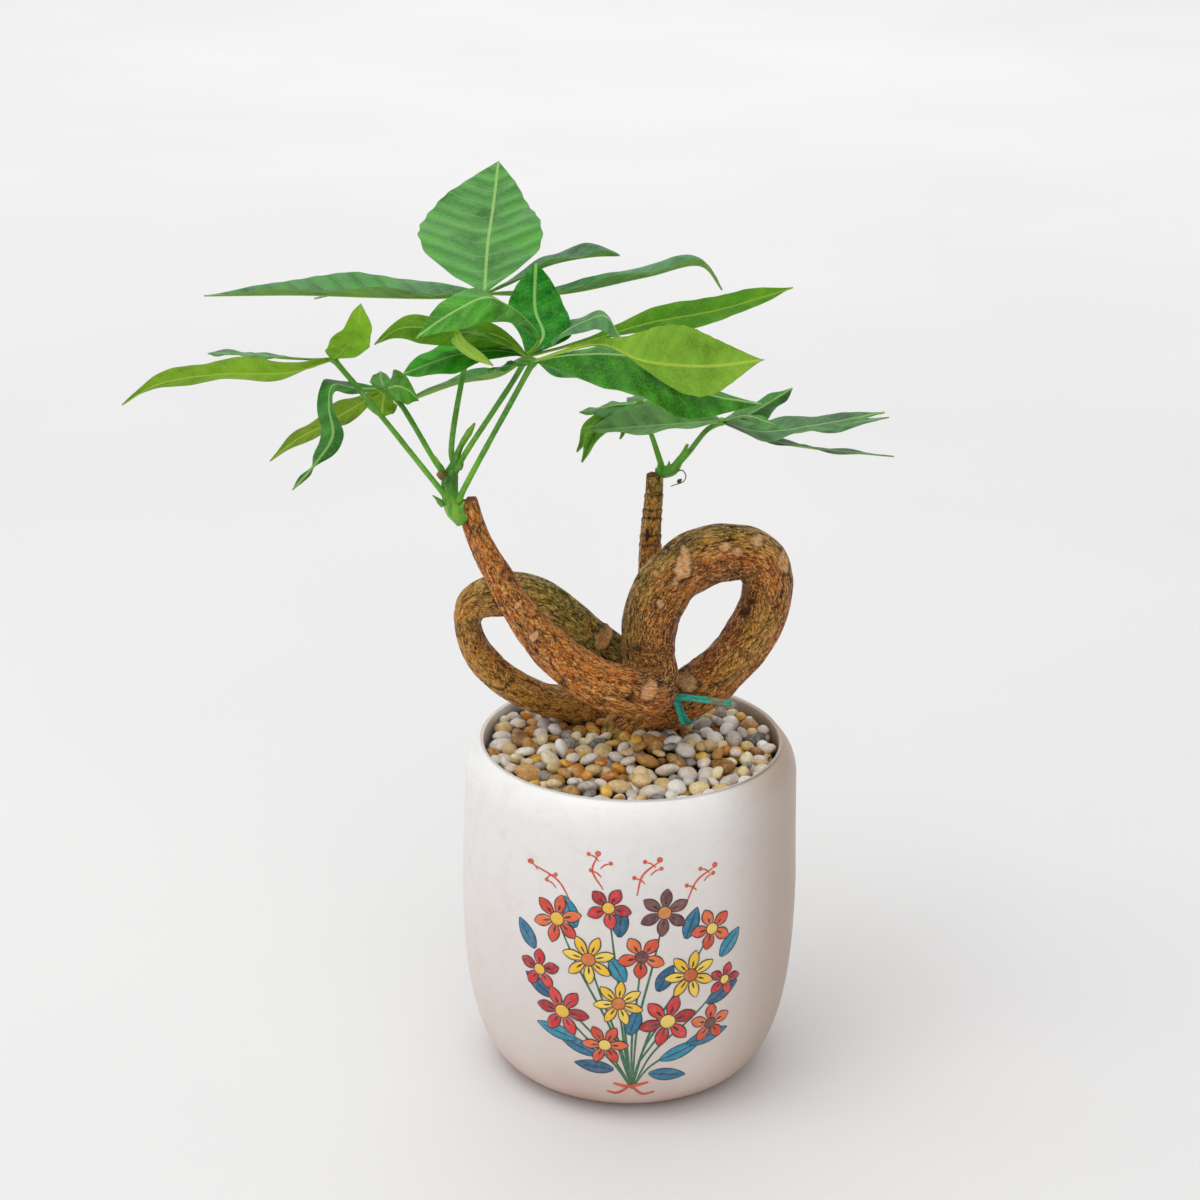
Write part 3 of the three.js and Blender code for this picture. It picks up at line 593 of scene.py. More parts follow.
rightLoop = [
    (-5, 11, 98, 5.6), (-5, 11, 117, 6), (-5, 11, 126, 6.2), (0, 11, 132.5, 7.6), (11, 10, 138, 8.9),
    (24, 9, 145, 9.2), (36, 8, 156.5, 9.4), (44.5, 7.5, 169.5, 9.2), (48.5, 7, 180, 8.9),
    (48.5, 6, 190, 8.8), (44, 5.5, 198, 9.4), (32, 4, 200.7, 10.3), (20.5, 4, 196, 10.6),
    (12, 4, 188, 10.7), (6.5, 4, 174.5, 10.4), (6.5, 3, 161.5, 9.8), (7.5, -6, 153, 9.2),
    (3, -15.5, 153.3, 9.2), (-4.5, -19, 156.2, 9.2), (-15, -20, 160.6, 8.6), (-28, -19, 171.3, 7.6),
    (-40, -18, 185.3, 5.9), (-48, -17, 199, 4.9), (-54.4, -16, 211.5, 4.3), (-59, -15, 225.5, 3.9),
]
leftLoop = [
    (-14, 25, 98, 5.8), (-14, 25, 118, 6.2), (-15, 24, 127, 6.6), (-22, 21, 133.3, 6.7),
    (-33, 17, 137.3, 6.3), (-46.5, 14, 145.7, 6.4), (-52.5, 13, 151.5, 6.2), (-57.5, 12, 158.8, 5.8),
    (-60.3, 10.5, 170, 5.1), (-58, 9, 177.8, 6.3), (-52.5, 8, 181.2, 7.3), (-43, 7, 182.8, 8.2),
    (-28.5, 8, 175.5, 8.6), (-15, 13, 161.5, 8.4), (-3.5, 20.5, 151, 8.1), (5, 27.5, 151.5, 7),
    (8, 28.5, 162, 5.8), (7, 28, 176, 4.8), (6.5, 27, 189, 4.3), (6.7, 27, 201, 3.7), (7.5, 27, 213, 3.3),
    (7.8, 27, 222.3, 3.1),
]
bark = {
    "meshSize": 0.68,
    "lumps": 0.5, "wrinkles": 0.42, "cracks": 0.6,  # how far each moves the surface
    "wrinkleSize": (2.1, 15), "crackSize": (3.1, 21),  # across and along the stem
    "woodyEnd": 34,  # length of the stringy root end of the right stem
    "palest": 0.85,  # linear red, green or blue that no colour below goes over
    # how strongly the red, green and blue of the tables below come out, on the right stem and on the left
    "strengths": {"right": (2.6, 1.65, 0.24), "left": (4.5, 3.3, 0.8)},
    # at stations along the stem: the colours of its outer side, front and back, and inner side of the loop
    "rightColours": [
        (0, "#a08c3c", "#b09a48", "#8a6a30"), (2.6, "#9a7a34", "#a8843c", "#7a4a20"),
        (4, "#9a5f28", "#a2672e", "#5c3016"), (5, "#8f5a26", "#93683a", "#70401c"),
        (6, "#8a5224", "#857048", "#7a4a22"), (7.5, "#8a5526", "#7f6e46", "#6f4420"),
        (9, "#7c5426", "#845a30", "#5a3014"), (10.3, "#6c6020", "#8a561f", "#4a260e"),
        (11.5, "#6c6220", "#8a561f", "#46230d"), (12.6, "#6c6220", "#8a5a20", "#4e260d"),
        (14, "#665c1e", "#7c581f", "#5a2c10"), (15.3, "#4f4a1c", "#6a4c1c", "#54290f"),
        (16.2, "#6a501e", "#86551f", "#5c3212"), (17.5, "#85662a", "#9a6228", "#6e3c18"),
        (19, "#93602c", "#a4662f", "#8a4f22"), (21, "#9c6232", "#ad6c34", "#8f5526"),
        (24, "#9a5e30", "#b07034", "#8f5526"),
    ],
    "leftColours": [
        (0, "#7a5426", "#85602c", "#5c3a18"), (3, "#a5652a", "#8a6030", "#6a4a20"),
        (5, "#8a5a28", "#7f6236", "#7a5c34"), (7.5, "#82602e", "#7a5c30", "#5e3c1a"),
        (9, "#7f5c2c", "#7e5a2e", "#55300f"), (10.3, "#5d5a2c", "#7a5c2c", "#5a3412"),
        (11.3, "#4a5226", "#66602c", "#6a431a"), (12.5, "#41502a", "#4d5a30", "#5a4a1e"),
        (14, "#3c4722", "#4a4f24", "#4a3a18"), (15.5, "#5a4c26", "#6a542c", "#4f381c"),
        (17, "#6f5838", "#7c5c38", "#664a2c"), (20.3, "#705a38", "#82603c", "#6b5030"),
        (20.7, "#35441f", "#3c4c24", "#2c3a18"),
    ],
    "rightCentre": (28, 6, 172), "leftCentre": (-38, 11, 160),  # middle of each loop
    # leaf scars and knots: place, half size across and up as seen from the front, turn, height of the rim
    "rightScars": [
        ((17.8, -5.7, 199), 2.7, 5.0, -0.25, 0.55), ((44.1, 0.1, 206.8), 2.3, 1.6, -0.3, 0.4),
        ((53.8, 2, 197.9), 1.7, 3.1, 0.25, 0.4), ((32.5, -4, 205.9), 1.6, 1.2, 0.3, 0.3),
        ((37.1, -4.7, 204.3), 1.3, 1.5, 0, 0.3), ((9.6, -6.1, 184.7), 1.0, 1.9, 0.2, 0.35),
        ((15.2, -6.1, 192.5), 1.0, 1.0, 0, 0.3), ((8.1, -2.8, 195), 0.9, 0.9, 0, 0.3),
        ((20.3, 2.4, 150.4), 3.6, 2.6, 0.2, 0.3), ((-35, -24.6, 179), 1.3, 2.1, -0.5, 0.35),
        ((-40.6, -22, 190), 0.9, 1.7, -0.5, 0.3), ((6, -24.5, 158), 3.0, 2.4, 0.2, 0.35),
    ],
    "leftScars": [
        ((-10.3, 7.2, 165.8), 2.7, 3.1, -0.6, 0.9), ((-31.5, -0.4, 178), 1.0, 1.5, -0.7, 0.4),
        ((-58, 8, 167), 0.9, 1.4, 0, 0.3), ((-40, 11, 135.5), 2.6, 1.5, 0.3, 0.3),
    ],
    "rings": (215.4, 209.6, 206.4, 199.8, 196.2),  # heights of the old leaf rings on the thin stem
    "rootKnee": ((-4.6, 4.6, 127.6), (5.6, 5.5, 3.6), 2.2),  # the swollen root: its middle, reach and height
}


# the colour at each point along a stem, as linear red, green and blue
def alongColours(side, where, column):
    table = bark[side + "Colours"]
    colours = np.array([linear(row[column])[:3] for row in table])
    colours = np.minimum(colours * bark["strengths"][side], bark["palest"])
    return np.stack([np.interp(where, [row[0] for row in table], colours[:, k]) for k in range(3)], -1)


def barkSurface(stem, side, rings, seed, woodyEnd):
    b = bark
    outward, line = stem["outward"], stem["line"]
    along, r = stem["along"][:, None], stem["radii"][:, None]
    cos, sin = np.cos(stem["angles"])[None], np.sin(stem["angles"])[None]

    def streaks(width, length, k, bend=0.0):
        sway = bend * smoothNoise(cos * r / 9, sin * r / 9, along / 20, seed + k + 50)
        return smoothNoise(cos * r / width + sway, sin * r / width + sway, along / length, seed + k)

    lumps = streaks(9, 16, 1) + 0.5 * streaks(4.6, 8, 2)
    wrinkles = streaks(*b["wrinkleSize"], 3, 1.2) + 0.6 * streaks(1.3, 5.5, 4, 0.8)
    broken = smoothStep(streaks(5, 6, 6), -0.35, 0.3)
    cracks = (1 - smoothStep(np.abs(streaks(*b["crackSize"], 5, 1.6)), 0.0, 0.085)) * broken
    crossing = 1 - smoothStep(np.abs(streaks(7, 2.6, 7, 1.0)), 0, 0.07)
    cracks = np.maximum(cracks, 0.7 * crossing * smoothStep(streaks(6, 9, 8), 0.1, 0.5))
    size = np.clip(r / 8, 0.35, 1)
    move = size * (b["lumps"] * lumps + b["wrinkles"] * wrinkles) - b["cracks"] * size * cracks
    points = line[:, None] + outward * (r + move)[..., None]
    scarred = np.zeros(points.shape[:2])
    for place, wide, tall, turn, rise in b[side + "Scars"]:
        away = points - place
        x, z = away[..., 0], away[..., 2]
        near = np.linalg.norm(away, axis=-1) < 2.2 * max(wide, tall)
        across = (x * math.cos(turn) + z * math.sin(turn)) / wide
        upward = (z * math.cos(turn) - x * math.sin(turn)) / tall
        distance = np.hypot(across, upward) * (1 + 0.26 * smoothNoise(x / 1.7, z / 1.7, 0, seed + 9))
        rim = np.exp(-((distance - 0.92) / 0.22) ** 2) * near
        inside = (1 - smoothStep(distance, 0.8, 1.08)) * near
        move = move * (1 - 0.8 * inside) + rise * rim - 0.25 * rise * inside
        scarred = np.maximum(scarred, np.maximum(inside, 0.75 * rim))
        cracks = np.maximum(cracks * (1 - inside), 0.85 * np.exp(-((distance - 1.25) / 0.13) ** 2) * near)
    fibre = np.zeros(points.shape[:2])
    if woodyEnd:
        middle, spread, rise = b["rootKnee"]
        move = move + rise * np.exp(-(((points - middle) / spread) ** 2).sum(-1))
        fibre = fibre + smoothStep(woodyEnd - along, 0, 4)
    for height in rings:
        off = points[..., 2] - height - 0.35 * smoothNoise(cos * 2, sin * 2, height, seed + 11)
        groove = np.exp(-(off / 0.42) ** 2)
        move = move - 0.22 * groove + 0.28 * np.exp(-((off + 1.15) / 0.6) ** 2)
        cracks = np.maximum(cracks, 0.95 * groove)
    # colours: outer side, front and back, and inner side of the loop
    inward = np.asarray(b[side + "Centre"], float) - line
    inward = unit(inward - stem["tangents"] * (inward * stem["tangents"]).sum(1)[:, None])
    facing = (outward * inward[:, None]).sum(-1) + 0.22 * lumps
    inner, outer = smoothStep(facing, 0.15, 0.85)[..., None], smoothStep(-facing, 0.2, 0.85)[..., None]
    outside, middle, inside = (alongColours(side, stem["where"], k)[:, None] for k in (1, 2, 3))
    colour = middle * (1 - inner) * (1 - outer) + inside * inner + outside * outer
    return line[:, None] + outward * (r + move)[..., None], {
        "barkTint": np.concatenate([colour, np.ones(colour.shape[:2] + (1,))], -1),
        "crack": np.clip(cracks, 0, 1), "scar": np.clip(scarred, 0, 1), "fibre": fibre,
        "grainPlace": np.stack(np.broadcast_arrays(cos * r, sin * r, along), -1),
    }


def barkMaterial():
    # bark of a young money tree, air dried: corky brown over green, split lengthwise in fine dark cracks,
    # with raised tan pores of about 1 mm, pale ridges and flecks that are partly painted highlights, and glossy
    # only on the ridges that hands have rubbed
    skin, add, surface = newMaterial("money_tree_bark_rough", IOR=1.45, Specular_IOR_Level=0.5)
    tint = add("Attribute", out="Color", attribute_name="barkTint")
    crack, scar, fibre = (
        add("Attribute", out="Fac", attribute_name=key) for key in ("crack", "scar", "fibre")
    )
    grain = add("Attribute", out="Vector", attribute_name="grainPlace")
    patch = add("TexNoise", {"Scale": 115.0, "Detail": 3.0, "Vector": add("TexCoord", out="Object")})
    # corky wrinkles 1.3 mm wide and about 4 mm long, short broken flecks of 0.4 mm, and threads of 0.7 mm
    streak, fleck, thread = (
        add("TexNoise", {"Scale": 1.0, "Detail": 3.0, "Roughness": rough, "Distortion": bend,
                         "Vector": add("Mapping", {"Scale": scale, "Vector": grain})})
        for scale, rough, bend in (((0.78, 0.78, 0.24), 0.6, 0.9), ((2.4, 2.4, 0.75), 0.7, 0.0),
                                   ((1.4, 1.4, 0.1), 0.5, 0.0))
    )
    # a net of fine splits, 1.4 mm apart across the stem and over twice as long
    bent = add("TexNoise", {"Scale": 0.5, "Detail": 2.0, "Vector": grain}, out="Color")
    shaken = add("VectorMath", {0: bent, 1: (3.4, 3.4, 5.0), 2: grain}, operation="MULTIPLY_ADD")
    cell = add("Mapping", {"Scale": (0.6, 0.6, 0.24), "Vector": shaken})
    net = add("TexVoronoi", {"Scale": 1.0, "Vector": cell}, feature="DISTANCE_TO_EDGE")
    split = add("MapRange", {"Value": net, "From Min": 0.06, "From Max": 0.012, "To Max": 0.75})
    # pores, long ovals 0.8 to 1.8 mm wide, in about a third of cells of 4 mm
    oval = add("Mapping", {"Scale": (0.27, 0.27, 0.19), "Vector": grain})
    cells = add("TexVoronoi", {"Scale": 1.0, "Vector": oval})
    chance = add("SeparateColor", {0: cells.node.outputs["Color"]})
    reach = add("MapRange", {"Value": chance, "From Min": 0.6, "To Max": 0.25})
    inside = add("Math", {0: reach, 1: cells}, operation="SUBTRACT")
    pore = add("MapRange", {"Value": inside, "From Max": 0.05})
    # leaf scars and knots are torn down to orange wood with pale fibres, and the root end is stringy
    torn = add("ValToRGB", {"Fac": fleck}, [(0.34, "#cc6c28"), (0.46, "#ffae64"), (0.62, "#ffe6b8")])
    rope = add("ValToRGB", {"Fac": thread}, [(0.36, "#7a4a14"), (0.5, "#c09c3c"), (0.64, "#e8d488")])
    colour = layTones(
        add, tint,
        # patches of 9 mm, worn to orange or grown over darker
        ("#d07a2c", patch, 0.52, 0.66, 0.5), ("#40360f", patch, 0.49, 0.36, 0.5),
        # painted highlights: the pale tones on the ridge streaks and on the flecks are partly the bark's pale
        # fibres and flecks, partly painted glints
        ("#ffb862", streak, 0.53, 0.6, 0.684), ("#341405", streak, 0.48, 0.4, 0.68), ("#1e0a02", split),
        ("#301405", fleck, 0.55, 0.68, 0.75), ("#ffd688", fleck, 0.45, 0.37, 0.95), ("#ffb87c", pore),
        (torn, scar, 0.0, 1.0, 0.95), (rope, fibre), ("#241006", crack),
    )
    relief = streak
    for pattern, part in ((fleck, 0.7), (pore, 0.35), (split, -0.3)):
        relief = add("Math", {0: pattern, 1: part, 2: relief}, operation="MULTIPLY_ADD")
    dress(add, surface, colour, (streak, 0.26, 0.75, 0.6, 0.42), (relief, 1.0, 0.0013))
    return skin


def cutMaterial():
    # pruned stem end, sawn and dried: torn reddish brown wood with a few pale fibres
    wood, add, surface = newMaterial("pruned_wood_dried", Roughness=0.85)
    spot = add("TexCoord", out="Object")
    fleck = add("TexNoise", {"Scale": 1100.0, "Detail": 5.0, "Roughness": 0.7, "Vector": spot})
    tones = [(0.34, "#3c1f0e"), (0.48, "#8a4d26"), (0.58, "#b87a48"), (0.7, "#dcb088")]
    dress(add, surface, add("ValToRGB", {"Fac": fleck}, tones), relief=(fleck, 0.9, 0.0008))
    return wood


def makeStems():
    skin, wood = barkMaterial(), cutMaterial()
    for side, stations, sides, seed, woodyEnd, rings in (
        ("right", rightLoop, 96, 3, bark["woodyEnd"], ()), ("left", leftLoop, 76, 23, 0, bark["rings"]),
    ):
        stem = stemRings(stations, bark["meshSize"], sides)
        points, values = barkSurface(stem, side, rings, seed, woodyEnd)
        # the sawn end: its rim is broken, and it dips to the pith
        end, tip = stem["line"][-1], stem["tangents"][-1]
        caps = []
        for part, dip in ((0.97, 0.2), (0.88, 0.3), (0.74, 0.25), (0.58, 0.15), (0.4, 0.05), (0.2, -0.1)):
            ring = end + (points[-1] - end) * part + tip * dip
            caps.append(ring + tip * 0.5 * smoothNoise(ring[:, :1] / 0.9, ring[:, 1:2] / 0.9, part * 3, 8))
        for key, value in values.items():
            values[key] = np.concatenate([value, np.repeat(value[-1:], len(caps), 0)])
        rows = len(points) + len(caps)
        cut = np.arange(rows - 1)[:, None] >= len(points) - 1
        parts = MeshParts()
        parts.addTube(np.concatenate([points, caps]), cut.astype(int), **values)
        parts.make(side + "_stem", [skin, wood], [side + "_loop_stem"], "bark")


makeStems()
print("stems made")


bed = {
    "top": 124.2, "rise": 3.0, "dome": 1.4, "radius": 53.9,
    "heap": ((8.0, -8.0), (13.0, 9.0), 5.5),  # pebbles pushed up against the root: middle, reach and height
    "gritTop": -4.4,  # of the grit that shows between the pebbles, from the bed's top
    "reach": 54.1, "count": 1500, "tries": 26, "overlap": 0.5, "seed": 7,
    "highest": 2.2,  # that a pebble's middle may lie above the bed
    "gritFoot": 115, "stemFeet": 136,  # heights where the grit ends and up to which stems keep pebbles off
    "cell": 0.8,  # of the grid that keeps the height laid so far
    "lengths": (1.0, 1.62), "heights": (0.6, 0.9), "tilts": (0.32, 0.36),  # parts of the size, and radians
    "bumps": ((0.12, 1.1, 3.7, 2), (0.045, 2.4, 1.3, 4)),  # depth, fineness, shift for each pebble and seed
    "shades": (0.88, 1.08),
    # share of the pebbles, half sizes from smallest to largest, and colours of each kind of stone
    "kinds": {
        "milky_quartz": (0.36, (2.1, 4.1), "#ece7e2 #e0d8d0 #f0ece6 #d6cfcb #f2efea #e2d6c8"),
        "cream_limestone": (0.29, (2.0, 4.0), "#ecdcb0 #e4cf9c #dcc088 #f0e4c4 #d2b478"),
        "grey_granite": (0.13, (1.9, 3.6), "#b4aca2 #9c948a #86807a #c2bab0 #5c5854 #726c66"),
        "amber_jasper": (0.22, (2.0, 3.9), "#e09a2c #ecb846 #c67c22 #b88440 #966a34 #d0a058"),
    },
    # how each kind looks: least and most roughness, the tone of its clouds and specks, and its pale parts
    "finishes": {
        "milky_quartz": (0.28, 0.48, "#c0a98e", "#faf7f2"),
        "cream_limestone": (0.4, 0.6, "#b48a4c", "#faf2dc"),
        "grey_granite": (0.38, 0.6, "#403c3a", "#d6d0ca"),
        "amber_jasper": (0.3, 0.52, "#633a18", "#f2d896"),
    },
}


def bedHeight(x, y):
    middle, reach, high = bed["heap"]
    heap = high * np.exp(-((x - middle[0]) / reach[0]) ** 2 - ((y - middle[1]) / reach[1]) ** 2)
    dome = bed["dome"] * (1 - (x * x + y * y) / bed["radius"] ** 2)
    return bed["top"] + bed["rise"] * y / bed["radius"] + dome + heap


def stoneMaterial(kind):
    # river stones, tumbled and a little polished: soft gloss, cloudy colour with veins and 1 mm specks
    low, high, shade, pale = bed["finishes"][kind]
    stone, add, surface = newMaterial("river_pebble_" + kind + "_tumbled", IOR=1.54)
    if kind == "milky_quartz":
        surface.inputs["Subsurface Weight"].default_value = 0.3
        surface.inputs["Subsurface Radius"].default_value = (1.0, 0.85, 0.75)
        surface.inputs["Subsurface Scale"].default_value = 0.0012
    tint = add("Attribute", out="Color", attribute_name="stoneTint")
    spot = add("Attribute", out="Vector", attribute_name="stonePlace")
    cloud, speck = (
        add("TexNoise", {"Scale": scale, "Detail": fine, "Roughness": rough, "Distortion": bend, "Vector": spot})
        for scale, fine, rough, bend in ((0.42, 4.0, 0.6, 0.8), (1.6, 3.0, 0.7, 0.0))
    )
    colour = layTones(add, tint, (shade, cloud, 0.52, 0.72, 0.65), (pale, cloud, 0.47, 0.3, 0.55),
                      (shade, speck, 0.58, 0.7, 0.45))
    dress(add, surface, colour, (speck, low, high), (speck, 0.25, 0.0003))
    return stone


def makePebbles():
    b = bed
    random = np.random.default_rng(b["seed"])
    stems = []
    for stations in (rightLoop, leftLoop):
        stem = stemRings(stations, 1.2, 8)
        low = stem["line"][:, 2] - stem["radii"] < b["stemFeet"]
        stems.append(np.column_stack([stem["line"][low], stem["radii"][low]]))
    stems = np.vstack(stems)
    cell, half = b["cell"], int(60 / b["cell"])
    axis = (np.arange(2 * half + 1) - half) * cell
    gridX, gridY = np.meshgrid(axis, axis, indexing="ij")
    surface = bedHeight(gridX, gridY) + b["gritTop"]
    sphere = bmesh.new()
    bmesh.ops.create_icosphere(sphere, subdivisions=3, radius=1)
    sphere.verts.ensure_lookup_table()
    ball = np.array([v.co[:] for v in sphere.verts])
    ballFaces = np.array([[v.index for v in f.verts] for f in sphere.faces])
    sphere.free()
    names = list(b["kinds"])
    shares = np.array([b["kinds"][name][0] for name in names])
    heaps = {name: MeshParts() for name in names}
    for k in range(b["count"]):
        kind = names[random.choice(len(names), p=shares / shares.sum())]
        _, (low, high), colours = b["kinds"][kind]
        colours = colours.split()
        # the large stones are laid first, and small ones fill the gaps between them
        size = low + (high - low) * random.random() ** 1.3 * (1 - 0.75 * k / b["count"])
        radii = np.array([size * random.uniform(*b["lengths"]), size, size * random.uniform(*b["heights"])])
        turns = (random.normal(0, b["tilts"][0]), random.normal(0, b["tilts"][1]), random.uniform(0, np.pi))
        matrix = np.array(Euler(turns).to_matrix())
        reach = float(np.linalg.norm((matrix * radii)[:2], axis=1).max())
        form = matrix @ np.diag(radii ** 2) @ matrix.T
        flat = np.linalg.inv(form[:2, :2])
        best = (b["highest"], None)
        for _ in range(b["tries"]):
            angle, distance = random.uniform(0, 2 * np.pi), (b["reach"] - reach) * math.sqrt(random.random())
            x, y = distance * math.cos(angle), distance * math.sin(angle)
            i, j = int(round(x / cell)) + half, int(round(y / cell)) + half
            n = int(reach / cell) + 1
            window = (slice(i - n, i + n + 1), slice(j - n, j + n + 1))
            dx, dy = gridX[window] - x, gridY[window] - y
            inside = flat[0, 0] * dx * dx + 2 * flat[0, 1] * dx * dy + flat[1, 1] * dy * dy
            covered = inside < 0.92
            thick = np.sqrt(form[2, 2]) * 0.97 * np.sqrt(np.clip(1 - inside, 0, 1))
            height = (surface[window] + thick)[covered].max() - b["overlap"]
            room = np.linalg.norm(stems[:, :3] - (x, y, height), axis=1) - stems[:, 3] - radii[1:].mean()
            excess = height - bedHeight(x, y)
            if room.min() >= -0.1 and excess < best[0]:
                best = (excess, ((x, y, height), window, covered, height + thick))
        if not best[1]:
            continue
        place, window, covered, top = best[1]
        surface[window][covered] = np.maximum(surface[window], top)[covered]
        bumpy = np.ones(len(ball))
        for deep, scale, shift, seed in b["bumps"]:
            bumpy = bumpy + deep * smoothNoise(*(ball * scale + k * shift).T, seed)
        tint = linear(colours[random.integers(len(colours))])
        tint[:3] *= random.uniform(*b["shades"])
        heaps[kind].add((ball * bumpy[:, None] * radii) @ matrix.T + place, ballFaces,
                        stoneTint=tint, stonePlace=ball * radii + k * 11.3)
    for name, heap in heaps.items():
        replaced = ["pebble_bed"] if name == names[0] else ()
        heap.make("pebbles_" + name, [stoneMaterial(name)], replaced, "pebbles")
    print("pebbles laid:", sum(len(heap.points) for heap in heaps.values()))


def makeGrit():
    # the fine grit and potting mix under the pebbles, seen only as dark gaps between them
    grit, add, surface = newMaterial("potting_mix_damp_sieved", Roughness=0.95)
    spot = add("TexCoord", out="Object")
    crumbs = add("TexVoronoi", {"Scale": 700.0, "Vector": spot})
    cloud = add("TexNoise", {"Scale": 160.0, "Detail": 5.0, "Vector": spot})
    dark = add("ValToRGB", {"Fac": cloud}, [(0.3, "#1c130c"), (0.55, "#38271a"), (0.75, "#5e4630")])
    colour = layTones(add, dark, ("#6f5940", crumbs, 0.5, 0.0, 0.35))
    dress(add, surface, colour, relief=(crumbs, 0.9, 0.0012))
    radii = np.concatenate([[0.4], np.linspace(1.5, 54.0, 46)])[:, None]
    angles = circle(120)
    x, y = radii * np.cos(angles), radii * np.sin(angles)
    rough = 0.7 * smoothNoise(x / 2.4, y / 2.4, 0, 3) + 0.5 * smoothNoise(x / 6, y / 6, 0, 4)
    rings = np.stack([x, y, bedHeight(x, y) + bed["gritTop"] + rough], -1)
    foot = rings[-1:] * (1, 1, 0) + (0, 0, bed["gritFoot"])
    parts = MeshParts()
    parts.addTube(np.concatenate([rings, foot, foot * (0.9, 0.9, 1)]))
    parts.make("grit_bed", [grit], ["pebble_bed"], "soil")
    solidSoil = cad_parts["potting_soil"]
    solidSoil.data.materials.clear()
    solidSoil.data.materials.append(grit)


makeGrit()
makePebbles()
print("soil and pebbles made")


tie = {
    "place": (18.5, 9.5, 141.9), "along": (12, -1, 5), "ringRadius": 10.5, "width": 2.5, "thickness": 0.75,
    # sections of the ring and of the loose ends: places across the tape, and how far it stands out there
    "ringSection": [(-1, 0), (-0.85, 0.5), (-0.4, 0.42), (0.4, 0.42), (0.85, 0.5), (1, 0), (0.85, -0.5),
                    (-0.85, -0.5)],
    "stripSection": [(-1, 0), (-0.94, 0.6), (-0.8, 1), (-0.4, 0.88), (0, 0.8), (0.4, 0.88), (0.8, 1),
                     (0.94, 0.6), (1, 0), (0.94, -0.6), (0.8, -1), (0.4, -1), (0, -1), (-0.4, -1), (-0.8, -1),
                     (-0.94, -0.6)],
    # the knot's place, and from there the stations and radii of its roll and the line of the turn over it
    "knot": (15.2, -0.6, 146.1),
    "roll": [(-0.9, -0.6, -1.9, 1.0), (-0.4, -0.9, -0.7, 1.45), (-0.1, -0.95, 0.6, 1.5),
             (-0.5, -0.7, 1.9, 1.15)],
    "wrap": [(-1.6, -1.4, 0.7), (0, -2.4, 0.5), (1.5, -1.5, 0.1), (2.2, 0.1, -0.3)],
    "longEnd": [(14.9, -1.5, 146.5), (19, -2.3, 146.5), (24, -2.7, 146.1), (30, -2.6, 145.3),
                (36.6, -2.2, 144.2)],
    "hangingEnd": [(15.8, -1.7, 145.4), (16.7, -3.2, 143), (17.6, -3.9, 140), (18.9, -4.1, 136.4)],
    "teal": "#1ba78e", "worn": "#8a7a55", "rubbed": "#b9b98a",
}


# a flat strip with rounded edges along a line, turned so that its face looks as nearly as it can to one side
def stripRings(points, width, thickness, faceTo, count, narrow=0.0, seed=0):
    line, tangents, _, _ = smoothLine(points, count)
    faceTo = np.array(faceTo, float)
    face = unit(faceTo - tangents * (tangents @ faceTo)[:, None])
    side = np.cross(tangents, face)
    t = np.linspace(0, 1, count)
    turn = 0.25 * smoothNoise(t * 3, 0, 0, seed)[:, None]
    face, side = face * np.cos(turn) + side * np.sin(turn), side * np.cos(turn) - face * np.sin(turn)
    wide = width / 2 * (1 - narrow * t) * (1 + 0.06 * smoothNoise(t * 6, 1, 0, seed))
    return np.stack([
        line + side * (a * wide)[:, None] + face * h * thickness / 2 for a, h in tie["stripSection"]
    ], 1)


